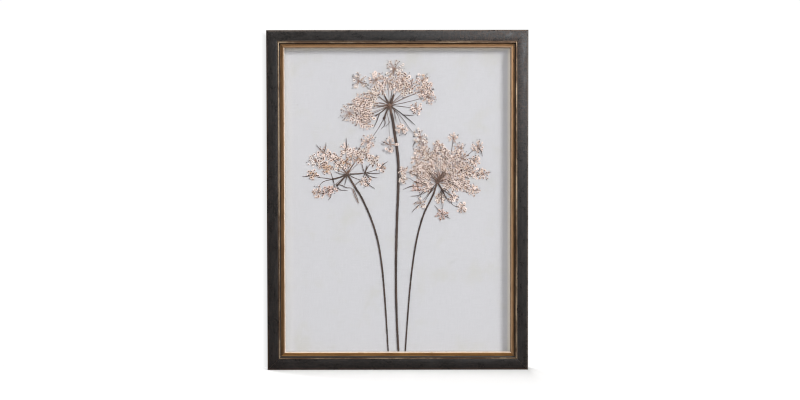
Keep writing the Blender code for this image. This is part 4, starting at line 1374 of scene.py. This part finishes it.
RIGHT_HEAD = Head(
    hub=(436.6, 182.5), hub_radius=4.6, hub_tint=0.24, ray_width=0.26, fineness=0.70, tone=Tone.DUSKY,
    knots=(((441.6, 190.6), 1.5),),
    rays=(
        Ray((452.5, 138), 5, ((451.6, 146),), start=(450.6, 154), look=Look.OPEN),
        Ray((437.5, 146), 6),
        Ray((458.5, 148.5), 6, look=Look.OPEN),
        Ray((477, 147), 6.5, ((469, 153.6),), start=(463, 158.5), look=Look.OPEN),
        Ray((474, 161), 5.5, ((469, 164),), start=(464, 167.5)),
        Ray((483, 174.5), 6, ((475, 176),), start=(464, 178), look=Look.OPEN),
        Ray((472.5, 173), 6.5, look=Look.OPEN),
        Ray((473.5, 190.5), 6, ((468, 188.6),), start=(460, 183.5), look=Look.OPEN),
        Ray((464.5, 187.5), 6),
        Ray((452.5, 197), 5.5, ((447, 193.2),), start=(441.6, 190.6)),
        Ray((461, 208), 5.5, ((446.6, 198.5), (453.5, 206)), start=(441.6, 190.6), look=Look.OPEN),
        Ray((441.5, 215), 6, ((443.2, 197), (442.2, 206)), start=(441.6, 190.6), look=Look.OPEN,
            tone=Tone.MAUVE),
        Ray((420, 203.5), 6, ((429.6, 191), (424, 198.5)), look=Look.OPEN, tone=Tone.CREAM),
        Ray((416.5, 187), 5.5, tone=Tone.MAUVE),
        Ray((402.5, 171), 5, ((410, 173.6),), (420.5, 177.5), LIFT),
        Ray((402, 179.2), 4.5, ((414, 181.8), (407.5, 178)), (423, 185), LIFT, tone=Tone.CREAM),
        Ray((414.5, 171.5), 6),
        Ray((417, 160), 6.5),
        Ray((418.5, 151.5), 6, look=Look.OPEN),
        Ray((422.5, 144.5), 5.5, look=Look.OPEN),
        Ray((427, 154), 6.5, tone=Tone.CREAM),
        Ray((435.5, 154.5), 6.5),
        Ray((444, 154), 6.5),
        Ray((452, 158), 7),
        Ray((461.5, 159), 7),
        Ray((455.5, 167.5), 7.5),
        Ray((443.5, 164.5), 7.5),
        Ray((431, 164), 8),
        Ray((422.5, 168), 6.5),
        Ray((465.5, 169), 7),
        Ray((462, 179), 7.5),
        Ray((450, 176), 8),
        Ray((454.5, 186.5), 6.5),
        Ray((429, 174), 7),
        Ray((420.5, 178), 6),
        Ray((426, 186), 6.5),
        Ray((446, 185.5), 5, look=Look.OPEN),
        Ray((439.8, 198), 5.5, ((440.6, 194),), start=(441.4, 191.4), tone=Tone.CREAM),
        Ray((441.5, 176.5), 6.5, tone=Tone.MAUVE),
    ),
    twigs=(
        Twig(((439.6, 187), (441.6, 190.6)), widths=(1.0, 0.9)),
        Twig(((430, 191.5), (425, 199.8)), start=(433.2, 187)),
        Twig(((421.5, 182.6), (415, 176.2)), start=(427, 184.5)),
        Twig(((446.8, 190.5), (449.6, 196.2)), start=(442.4, 188.5)),
        Twig(((419, 195), (410, 196.5)), start=(425.4, 188)),
        Twig(((410, 186.6), (402.4, 189.8)), start=(416, 186.6)),
        Twig(((444.6, 197), (449.5, 204)), start=(441.8, 191.6)),
        Twig(((443.6, 194), (444.8, 200.4)), (441.6, 189.6), (0.45, 0.2), 0.0024, 0.0),
        Twig(((446.4, 193.6), (452.4, 197.6)), (442.4, 189.4), (0.45, 0.2), 0.0024, 0.0),
        Twig(((439.4, 193), (436.4, 199.4)), (441, 189), (0.45, 0.2), 0.0024, 0.0),
        Twig(((440.8, 197), (440.2, 207.4)), (441.4, 190), (0.45, 0.25), 0.0024, 0.0),
        Twig(((424, 193), (416, 197.5)), start=(432, 188), widths=(0.40, 0.15)),
        Twig(((421, 190.2), (409.5, 190.8)), start=(431, 187), widths=(0.40, 0.15)),
        Twig(((427.4, 196), (422.5, 204)), start=(433, 189), widths=(0.40, 0.15)),
        Twig(((431.4, 197), (428.8, 202.4)), start=(434, 190.4), widths=(0.40, 0.15)),
        Twig(((433, 178.6), (428, 171.6)), height=0.0024),
        Twig(((437.5, 210), (433.5, 205.5)), start=(441, 214.4)),
        Twig(((446.5, 217.4), (449.5, 218.8)), start=(442.4, 215.6)),
        Twig(((480.6, 152), (481.6, 156.8)), start=(478, 148.4)),
        Twig(((414.5, 208.6), (411, 213)), start=(419.2, 204.8)),
        Twig(((453.5, 184.8), (457.4, 188.8)), start=(447.5, 180.5), widths=(0.35, 0.25), height=0.0024),
        Twig(((437.4, 177), (433.6, 172.6)), widths=(0.8, 0.3), height=0.0022, tint=0.22),
        Twig(((438.6, 176), (437.6, 169.6)), widths=(0.8, 0.3), height=0.0022, tint=0.30),
        Twig(((440, 177), (442.4, 170.6)), widths=(0.9, 0.35), height=0.0022, tint=0.18),
        Twig(((440.6, 178.6), (447.2, 173.0)), widths=(0.8, 0.3), height=0.0022, tint=0.25),
        Twig(((441.6, 180.6), (449.0, 178.4)), widths=(0.7, 0.3), height=0.0022, tint=0.22),
        Twig(((433.6, 179.4), (427.6, 176.4)), widths=(0.6, 0.25), height=0.0022, tint=0.30),
        Twig(((434.6, 177.6), (430.2, 172.2)), widths=(0.6, 0.25), height=0.0022, tint=0.35),
        Twig(((441.4, 176.6), (446.0, 168.6)), widths=(0.5, 0.2), height=0.0022, tint=0.35),
    ),
)


@dataclass(frozen=True)
class Limb:
    """A closed tapering tube along a smooth path, pressed flat against the board.

    Half widths are in metres. Ridges run along it, and tint is its paleness. The flare widens its
    root, the wobble varies its width along it, and its ends are blunted.
    """

    points: tuple[Vector, ...]
    widths: tuple[float, float]
    sides: int = 6
    steps: int = 6
    flatness: float = 0.62
    ridges: int = 0
    flare: float = 0.0
    tint: float = 0.0
    flare_rate: float = 5.0
    wobble: Range = (0.92, 1.08)
    ridge_depth: float = 0.07
    blunt_end: float = 0.55

    def width_at(self, share: float) -> float:
        """Half width at a share of the length, flared towards the root."""
        width = self.widths[0] + (self.widths[1] - self.widths[0]) * share
        return width * (1 + self.flare * max(0.0, 1 - self.flare_rate * share) ** 2)

    def add_to(self, bm: bmesh.types.BMesh, draw: random.Random) -> None:
        """Adds the limb to a plant's mesh.

        Args:
            bm: the plant's mesh, with its layers.
            draw: source of small irregularities.
        """
        part = bmesh.new()
        grain = part.verts.layers.float_vector.new("grain")
        tint = part.verts.layers.float.new("tint")
        bmesh.ops.create_cone(part, cap_ends=True, segments=self.sides, radius1=1.0, radius2=1.0, depth=1.0)
        upright = [edge for edge in part.edges if run_of(edge, "z") > 0.5]
        bmesh.ops.subdivide_edges(part, edges=upright, cuts=self.steps - 1)
        path = smooth_path(self.points, self.steps)
        length = sum((there - here).length for here, there in zip(path, path[1:]))
        swell = [draw.uniform(*self.wobble) for _ in path]
        shift = random_spot(draw)
        out = Vector((0.0, -1.0, 0.0))
        for vert in part.verts:
            at = round((vert.co.z + 0.5) * self.steps)
            share = at / self.steps
            ahead = path[min(at + 1, self.steps)] - path[max(at - 1, 0)]
            across = ahead.cross(out).normalized()
            angle = math.atan2(vert.co.y, vert.co.x)
            ridge = 1 + self.ridge_depth * math.cos(self.ridges * angle) if self.ridges else 1.0
            blunt = self.blunt_end if at in (0, self.steps) else 1.0
            width = self.width_at(share) * swell[at] * ridge * blunt
            vert[grain] = Vector((vert.co.x * width, vert.co.y * width, share * length)) + shift
            vert[tint] = self.tint
            vert.co = path[at] + (across * vert.co.x + out * (vert.co.y * self.flatness)) * width
        join(bm, part)


@dataclass
class FloretPress:
    """Makes a few florets and presses copies of them into clusters.

    Flatness is how thick a pressed floret is against a fresh one. A petal's own sizes are shares of
    its length, turns and tilts are in radians, and a heart's height is in metres.
    """

    kinds: int = 9
    petals: int = 5
    flatness: float = 0.42
    petal_base: float = 0.14
    petal_widening: float = 0.50
    petal_end: float = 1.08
    petal_notch: float = 0.80
    petal_thickness: float = 0.045
    petal_turn: Range = (-0.26, 0.26)
    petal_length: Range = (0.74, 1.16)
    petal_curl: Range = (-0.10, 0.34)
    petal_shade: Range = (0.92, 1.0)
    floret_size: Range = (0.82, 1.22)
    floret_tilt: float = 0.42
    floret_shade: float = 0.26
    tone_scatter: float = 0.05
    heart_size: Range = (0.60, 1.32)
    heart_height: float = 0.0005
    heart_ripeness: Range = (0.60, 1.15)
    bud_ripeness: Range = (0.4, 1.0)

    def __post_init__(self) -> None:
        """Makes the florets, and the heart that goes on each."""
        self.florets = [self.floret(random.Random(f"floret {kind}")) for kind in range(self.kinds)]
        self.heart = self.ball()

    def petal(self, bm: bmesh.types.BMesh, turn: float, length: float, curl: float, shade: float) -> None:
        """Adds one notched petal, a thin pillow lying along a turned X axis."""
        reach = bm.verts.layers.float["reach"]
        tint = bm.verts.layers.float["tint"]
        made = bmesh.ops.create_uvsphere(bm, u_segments=8, v_segments=2, radius=1.0)["verts"]
        for vert in made:
            share = (vert.co.x + 1) / 2
            half_width = self.petal_base + self.petal_widening * share
            along = self.petal_notch if share > 0.95 else self.petal_end * share
            height = self.petal_thickness * vert.co.z + curl * share * share
            vert[reach] = share
            vert[tint] = shade
            vert.co = Vector((along, half_width * vert.co.y, height))
        spin = Matrix.Rotation(turn, 4, "Z") @ Matrix.Diagonal((length, length, length, 1.0))
        bmesh.ops.transform(bm, matrix=spin, verts=made)

    def floret(self, draw: random.Random) -> bpy.types.Mesh:
        """One floret of unit radius in the XY plane, facing +Z, without its heart."""
        bm = bmesh.new()
        bm.verts.layers.float.new("reach")
        bm.verts.layers.float.new("tint")
        for index in range(self.petals):
            turn = math.tau * index / self.petals + draw.uniform(*self.petal_turn)
            self.petal(bm, turn, draw.uniform(*self.petal_length), draw.uniform(*self.petal_curl),
                       draw.uniform(*self.petal_shade))
        return self.pattern("floret", bm, Skin.PETAL)

    def ball(self) -> bpy.types.Mesh:
        """A ball of unit radius in the hearts' material."""
        bm = bmesh.new()
        bmesh.ops.create_uvsphere(bm, u_segments=7, v_segments=4, radius=1.0)
        return self.pattern("heart", bm, Skin.HEART)

    def pattern(self, name: str, bm: bmesh.types.BMesh, skin: Skin) -> bpy.types.Mesh:
        """A shape to be copied, all in one material."""
        for face in bm.faces:
            face.material_index = skin.value
        return as_mesh(name, bm)

    def stamp(self, bm: bmesh.types.BMesh, shape: bpy.types.Mesh, move: Matrix) -> list[bmesh.types.BMVert]:
        """Adds a copy of a shape to a cluster, moved by a matrix, and gives the copy's vertices."""
        before = len(bm.verts)
        bm.from_mesh(shape)
        bm.verts.ensure_lookup_table()
        added = bm.verts[before:]
        bmesh.ops.transform(bm, matrix=move, verts=added)
        return added

    def press(self, bm: bmesh.types.BMesh, place: Vector, spread: Spread, fineness: float, tone: Tone,
              draw: random.Random) -> None:
        """Presses one floret on to the end of its stalk.

        Args:
            bm: the cluster's mesh, with its layers.
            place: the floret's heart.
            spread: sizes of the petals and the heart.
            fineness: what they are scaled by.
            tone: the cluster's tone.
            draw: source of its turn, tilt and shade.
        """
        tint_layer = bm.verts.layers.float["tint"]
        tone_layer = bm.verts.layers.float["tone"]
        shape = draw.choice(self.florets)
        size = math.sqrt(fineness) * spread.petal * draw.uniform(*self.floret_size)
        tilt = Euler((draw.gauss(0.0, self.floret_tilt), draw.gauss(0.0, self.floret_tilt),
                      draw.uniform(0.0, math.tau)))
        facing = Matrix.Diagonal((1.0, self.flatness, 1.0, 1.0)) @ Matrix.Rotation(math.pi / 2, 4, "X")
        move = Matrix.Translation(place) @ facing @ tilt.to_matrix().to_4x4()
        petals = self.stamp(bm, shape, move @ Matrix.Scale(size, 4))

        radius = math.sqrt(fineness) * spread.heart * draw.uniform(*self.heart_size)
        raised = Matrix.Translation(place + Vector((0.0, -self.heart_height, 0.0)))
        heart = self.stamp(bm, self.heart, raised @ Matrix.Scale(radius, 4))
        shade = 1.0 - self.floret_shade * draw.random() ** 4
        place_on_scale = tone.value + draw.gauss(0.0, self.tone_scatter)
        for vert in petals:
            vert[tint_layer] *= shade
            vert[tone_layer] = place_on_scale
        ripeness = draw.uniform(*self.heart_ripeness)
        for vert in heart:
            vert[tint_layer] = ripeness

    def bud(self, bm: bmesh.types.BMesh, place: Vector, radius: float, draw: random.Random) -> None:
        """Adds a closed bud in the hearts' material."""
        tint_layer = bm.verts.layers.float["tint"]
        ripeness = draw.uniform(*self.bud_ripeness)
        for vert in self.stamp(bm, self.heart, Matrix.Translation(place) @ Matrix.Scale(radius, 4)):
            vert[tint_layer] = ripeness


@dataclass
class Umbel:
    """A pressed umbel: the hub, forked rays, bracts and every cluster of florets, as one piece.

    Heights and scatters of them are in metres off the board. A hidden ray lies under florets. Stalks
    and buds have their widths, reaches and sizes as shares of their cluster's or of the usual ones.
    """

    side: str
    head: Head
    press: FloretPress
    golden_angle: float = math.pi * (3 - math.sqrt(5))
    tan_core: float = 0.62
    bud_radius: float = 0.00044
    ray_height: float = 0.0005
    floret_height: float = 0.0007
    hub_height: float = 0.0010
    hub_share: float = 0.42
    root_share: float = 0.35
    hub_flare: float = 0.9
    fork_flare: float = 0.3
    ray_taper: float = 0.62
    hidden_width: float = 0.75
    shown_tint: float = 0.18
    hidden_tint: float = 0.62
    lump_depth: float = 0.22
    lump_rate: float = 2.2
    lump_shift: float = 50.0
    knob_flatness: float = 0.4
    neck_taper: float = 0.9
    neck_flatness: float = 0.45
    neck_tint: float = 0.7
    turn_scatter: Range = (-0.3, 0.3)
    out_scatter: Range = (0.86, 1.06)
    doming: float = 0.0004
    height_scatter: Range = (-0.0002, 0.0003)
    bow: Range = (-0.0006, 0.0006)
    stalk_root: float = 1.5
    stalk_tint: Range = (0.55, 1.0)
    bud_out: Range = (0.72, 1.22)
    bud_stalk: tuple[float, float] = (1.3, 0.8)
    bud_tint: Range = (0.3, 0.8)
    bud_size: Range = (0.7, 1.2)

    def begin(self) -> bmesh.types.BMesh:
        """An empty mesh with a plant's layers."""
        bm = bmesh.new()
        bm.verts.layers.float_vector.new("grain")
        for name in ("tint", "tone", "reach"):
            bm.verts.layers.float.new(name)
        return bm

    def root_of(self, start: Optional[Pixel], following: Pixel) -> Pixel:
        """Where a limb begins: its own start, or in the hub, a little towards its next point."""
        if start is not None:
            return start
        towards = Vector(following) - Vector(self.head.hub)
        spot = Vector(self.head.hub) + towards.normalized() * self.root_share * self.head.hub_radius
        return spot.x, spot.y

    def add_ray(self, bm: bmesh.types.BMesh, ray: Ray, draw: random.Random) -> None:
        """Adds a ray. One without via points is thinner, and lies under its neighbours' florets."""
        shown = bool(ray.via)
        following = ray.via[0] if shown else ray.tip
        pixels = (self.root_of(ray.start, following), *ray.via, ray.tip)
        last = len(pixels) - 1
        points = tuple(board_point(pixel, self.ray_height + ray.lift * min(1.0, 2 * index / last))
                       for index, pixel in enumerate(pixels))
        width = self.head.ray_width * PICTURE_SCALE * (1.0 if shown else self.hidden_width)
        flare = self.hub_flare if ray.start is None else self.fork_flare
        tint = self.shown_tint if shown else self.hidden_tint
        Limb(points, (width, self.ray_taper * width), 8, 12, flare=flare, tint=tint).add_to(bm, draw)

    def add_twig(self, bm: bmesh.types.BMesh, twig: Twig, draw: random.Random) -> None:
        """Adds a bare bract, broken ray or stalk."""
        pixels = (self.root_of(twig.start, twig.points[0]), *twig.points)
        points = tuple(board_point(pixel, twig.height) for pixel in pixels)
        widths = tuple(width * PICTURE_SCALE for width in twig.widths)
        Limb(points, widths, 6, 8, tint=twig.tint).add_to(bm, draw)

    def add_knob(self, bm: bmesh.types.BMesh, pixel: Pixel, radius: float, height: float, tint: float,
                 draw: random.Random) -> None:
        """Adds a lumpy swelling where limbs part."""
        part = self.begin()
        grain = part.verts.layers.float_vector["grain"]
        paleness = part.verts.layers.float["tint"]
        bmesh.ops.create_icosphere(part, subdivisions=3, radius=1.0)
        shift = random_spot(draw)
        for vert in part.verts:
            spot = vert.co * self.lump_rate + shift * self.lump_shift
            lump = 1 + self.lump_depth * noise.noise(spot)
            vert[grain] = vert.co * radius * PICTURE_SCALE + shift
            vert[paleness] = tint
            vert.co *= lump * radius * PICTURE_SCALE
            vert.co.y *= self.knob_flatness
        bmesh.ops.translate(part, verts=part.verts, vec=board_point(pixel, height))
        join(bm, part)

    def add_neck(self, bm: bmesh.types.BMesh, draw: random.Random) -> None:
        """Adds the top of the stem, which runs into the hub."""
        points, widths = STEMS[self.side]
        path = tuple(board_point(pixel, self.hub_height) for pixel in (self.head.hub, *points[:2]))
        width = widths[0] * PICTURE_SCALE
        tint = self.neck_tint * self.head.hub_tint
        neck = Limb(path, (width, self.neck_taper * width), 10, 6, flatness=self.neck_flatness, tint=tint)
        neck.add_to(bm, draw)

    def round_tip(self, ray: Ray, out: float, angle: float, height: float) -> Vector:
        """A place in a ray's cluster, out from its tip by so many pixels at an angle."""
        pixel = (ray.tip[0] + out * math.cos(angle), ray.tip[1] + out * math.sin(angle))
        return board_point(pixel, height)

    def sway(self, angle: float, draw: random.Random) -> Vector:
        """How far the middle of a stalk at an angle lies to its side."""
        return Vector((math.sin(angle), 0.0, math.cos(angle))) * draw.uniform(*self.bow)

    def add_cluster(self, bm: bmesh.types.BMesh, ray: Ray, draw: random.Random) -> None:
        """Adds a cluster: stalks that part from the ray's tip, each with a floret.

        Args:
            bm: the umbel's mesh.
            ray: the ray that bears it.
            draw: source of its irregularity.
        """
        part = self.begin()
        spread = ray.look.value
        fineness = self.head.fineness
        tone = ray.tone or self.head.tone
        count = round(spread.florets * ray.radius ** 2 / fineness)
        base = self.ray_height + ray.lift
        root = board_point(ray.tip, base)
        turn = draw.uniform(0.0, math.tau)
        for number in range(count):
            share = spread.nearest + (1 - spread.nearest) * math.sqrt((number + 0.5) / count)
            angle = turn + number * self.golden_angle + draw.uniform(*self.turn_scatter)
            out = ray.radius * share * draw.uniform(*self.out_scatter)
            height = self.floret_height + ray.lift + self.doming * (1 - share)
            place = self.round_tip(ray, out, angle, height + draw.uniform(*self.height_scatter))
            middle = root.lerp(place, 0.5) + self.sway(angle, draw) * share
            widths = (self.stalk_root * spread.stalk, spread.stalk)
            tint = draw.uniform(*self.stalk_tint)
            Limb((root, middle, place), widths, 4, 3, tint=tint).add_to(part, draw)
            shown_tone = self.head.tone if tone is Tone.TAN and share > self.tan_core else tone
            self.press.press(part, place, spread, fineness, shown_tone, draw)
        for _ in range(round(spread.buds * ray.radius)):
            self.add_bud(part, ray, root, draw)
        join(bm, part)

    def add_bud(self, part: bmesh.types.BMesh, ray: Ray, root: Vector, draw: random.Random) -> None:
        """Adds a small bud on a bare stalk that reaches past a cluster's rim."""
        angle = draw.uniform(0.0, math.tau)
        out = ray.radius * draw.uniform(*self.bud_out)
        place = self.round_tip(ray, out, angle, self.floret_height + ray.lift)
        middle = root.lerp(place, 0.5) + self.sway(angle, draw)
        widths = tuple(share * ray.look.value.stalk for share in self.bud_stalk)
        tint = draw.uniform(*self.bud_tint)
        Limb((root, middle, place), widths, 4, 3, tint=tint).add_to(part, draw)
        self.press.bud(part, place, self.bud_radius * draw.uniform(*self.bud_size), draw)

    def build(self, materials: Sequence[bpy.types.Material]) -> bpy.types.Object:
        """Builds the umbel in place of its solid."""
        bm = self.begin()
        draw = random.Random(self.side)
        for ray in self.head.rays:
            self.add_ray(bm, ray, draw)
        for twig in self.head.twigs:
            self.add_twig(bm, twig, draw)
        for pixel, radius in self.head.knots:
            self.add_knob(bm, pixel, radius, self.ray_height, 0.0, draw)
        hub_size = self.hub_share * self.head.hub_radius
        self.add_knob(bm, self.head.hub, hub_size, self.hub_height, self.head.hub_tint, draw)
        self.add_neck(bm, draw)
        for index, ray in enumerate(self.head.rays):
            self.add_cluster(bm, ray, random.Random(f"{self.side} {index}"))
        piece = settle(f"pressed_umbel_{self.side}", bm, materials, 75.0)
        return hand_over(piece, "dried_floret", f"umbel_{self.side}")


# A stem's points in the picture, and its half widths in pixels at its top and its foot.
STEMS: dict[str, tuple[tuple[Pixel, ...], tuple[float, float]]] = {
    "middle": (
        ((390.3, 111.6), (391.6, 117), (392.9, 124), (394.2, 134), (396.2, 147), (397.8, 165), (397.6, 190),
         (396.3, 222), (395.3, 262), (395.4, 300), (396.4, 330), (397.6, 353)),
        (1.36, 1.03),
    ),
    "left": (
        ((349.1, 178.4), (355.2, 188.4), (361.8, 199.5), (370.6, 219.7), (377.2, 242),
         (381.5, 270), (384.4, 305), (387.3, 353)),
        (1.02, 0.71),
    ),
    "right": (
        ((435.0, 187.3), (433.0, 193.8), (429.1, 202), (423.7, 213), (419.1, 227), (414.6, 247),
         (410.3, 278), (407.4, 310), (404.3, 353)),
        (0.86, 0.70),
    ),
}


@dataclass
class Plants:
    """The three pressed plants, each a ridged stem and an umbel."""

    heads: dict[str, Head] = field(default_factory=lambda: {
        "middle": MIDDLE_HEAD, "left": LEFT_HEAD, "right": RIGHT_HEAD,
    })
    stem_steps: int = 90
    stem_sides: int = 20
    stem_ridges: int = 5
    stem_flatness: float = 0.5
    board_clearance: float = 0.0003

    def stem(self, side: str, bark: bpy.types.Material) -> bpy.types.Object:
        """A long ridged stem that stands a little off the board."""
        points, widths = STEMS[side]
        widths = tuple(width * PICTURE_SCALE for width in widths)
        bm = bmesh.new()
        bm.verts.layers.float_vector.new("grain")
        bm.verts.layers.float.new("tint")
        height = self.board_clearance + self.stem_flatness * widths[0]
        path = tuple(board_point(pixel, height) for pixel in points)
        limb = Limb(path, widths, self.stem_sides, self.stem_steps, self.stem_flatness, self.stem_ridges)
        limb.add_to(bm, random.Random(f"stem {side}"))
        return hand_over(settle(f"dried_stem_{side}", bm, [bark], 60.0), "dried_stem", f"stem_{side}")

    def build(self) -> list[bpy.types.Object]:
        """Builds the stems and the umbels."""
        materials = [finish.make() for finish in (StemBark(), PetalSkin(), HeartSkin())]
        press = FloretPress()
        pieces = []
        for side, head in self.heads.items():
            pieces.append(self.stem(side, materials[Skin.BARK.value]))
            pieces.append(Umbel(side, head, press).build(materials))
        return pieces


# ---------------------------------------------------------------- studio

class Reach(Enum):
    """What a lamp lights: everything, matt surfaces only, or only the sheen of glossy ones."""

    ALL = "all"
    MATT = "matt"
    SHEEN = "sheen"


@dataclass(frozen=True)
class Softbox:
    """A square lamp: where it is, its side in metres, its power in watts, its colour and its reach."""

    name: str
    place: tuple[float, float, float]
    side: float
    power: float
    colour: Colour = (1.0, 1.0, 1.0)
    reach: Reach = Reach.ALL

    def build(self, target: Vector) -> None:
        """Hangs the lamp, turned towards the target."""
        lamp = bpy.data.lights.new(self.name, "AREA")
        lamp.energy = self.power
        lamp.size = self.side
        lamp.color = self.colour
        lamp_object = put_in_scene(self.name, lamp)
        lamp_object.location = self.place
        lamp_object.rotation_euler = (Vector(self.place) - target).to_track_quat("Z", "Y").to_euler()
        lamp_object.visible_camera = False
        lamp_object.visible_glossy = self.reach is not Reach.MATT
        lamp_object.visible_diffuse = self.reach is not Reach.SHEEN


@dataclass
class Studio:
    """A pale floor, a white backdrop just behind the frame, soft lamps and the camera."""

    distance: float = 1.95
    elevation: float = math.radians(2.6)
    lens: float = 90.71
    roll: float = math.radians(-0.085)
    aim_shift: tuple[float, float] = (0.00237, 0.00052)
    backdrop_gap: float = 0.0003
    half_sheet: float = 3.0
    world_light: float = 0.333
    pixel_filter: float = 1.1
    lamps: tuple[Softbox, ...] = (
        Softbox("key", (2.60, -3.00, 1.87), 1.15, 188.0, (1.0, 0.985, 0.965)),
        Softbox("sheen", (0.285, -1.00, 0.455), 0.20, 4.5, (0.92, 0.96, 1.0), Reach.SHEEN),
        Softbox("left_fill", (-1.30, -2.20, 1.25), 0.8, 14.2),
        Softbox("front_fill", (-0.25, -2.60, 0.25), 1.2, 39.0, (1.0, 0.965, 0.93), Reach.MATT),
        Softbox("back_fill", (-1.5, 2.2, 1.5), 1.6, 100.0),
    )

    def camera(self) -> None:
        """Sets the camera at the photograph's viewing angle."""
        aim = Vector((self.aim_shift[0], FRONT, HEIGHT / 2 + self.aim_shift[1]))
        back = Vector((0.0, -math.cos(self.elevation), math.sin(self.elevation)))
        lens = bpy.data.cameras.new("camera")
        lens.lens = self.lens
        camera = put_in_scene("camera", lens)
        camera.location = aim + back * self.distance
        rolled = Matrix.Rotation(self.roll, 3, "Z")
        camera.rotation_euler = (back.to_track_quat("Z", "Y").to_matrix() @ rolled).to_euler()
        bpy.context.scene.camera = camera

    def sheet(self, name: str, paint: Union[FloorPaint, BackdropPaint], matrix: Matrix) -> bpy.types.Object:
        """A flat square of the studio, which neither lights the frame nor mirrors in it."""
        bm = bmesh.new()
        bmesh.ops.create_grid(bm, x_segments=2, y_segments=2, size=self.half_sheet, matrix=matrix)
        mesh = as_mesh(name, bm)
        mesh.materials.append(paint.make())
        made = put_in_scene(name, mesh)
        made.visible_diffuse = False
        made.visible_glossy = False
        return made

    def world(self) -> None:
        """A white surround, brighter to the eye than as a light."""
        world = bpy.data.worlds.new("surround")
        world.use_nodes = True
        nodes = world.node_tree.nodes
        background = nodes["Background"]
        background.inputs["Color"].default_value = (1.0, 1.0, 1.0, 1.0)
        path = nodes.new("ShaderNodeLightPath")
        strength = nodes.new("ShaderNodeMapRange")
        strength.inputs["To Min"].default_value = self.world_light
        strength.inputs["To Max"].default_value = 1.0
        world.node_tree.links.new(path.outputs["Is Camera Ray"], strength.inputs["Value"])
        world.node_tree.links.new(strength.outputs[0], background.inputs["Strength"])
        bpy.context.scene.world = world

    def build(self) -> list[bpy.types.Object]:
        """Sets up the studio."""
        floor = self.sheet("floor", FloorPaint(), Matrix.Identity(4))
        behind = Matrix.Translation((0.0, SOLID_BOX[1].y + self.backdrop_gap, 0.0))
        upright = behind @ Matrix.Rotation(math.pi / 2, 4, "X")
        wall = self.sheet("backdrop", BackdropPaint(), upright)
        wall.visible_shadow = False
        for lamp in self.lamps:
            lamp.build(Vector((0.0, 0.0, HEIGHT / 2)))
        self.world()
        self.camera()
        bpy.context.scene.view_settings.view_transform = "Standard"
        bpy.context.scene.cycles.filter_width = self.pixel_filter
        return [floor, wall]


def main() -> None:
    """Builds the frame, its fittings, the plants and the studio, and reports each piece."""
    logging.basicConfig(level=logging.INFO, format="%(name)s: %(message)s")
    for assembly in (Moulding(), Glazing(), BackHardware(), Plants(), Studio()):
        for piece in assembly.build():
            triangles = sum(len(face.vertices) - 2 for face in piece.data.polygons)
            LOG.info("%s: %s, %d triangles", type(assembly).__name__, piece.name, triangles)


if __name__ == "__main__":
    main()
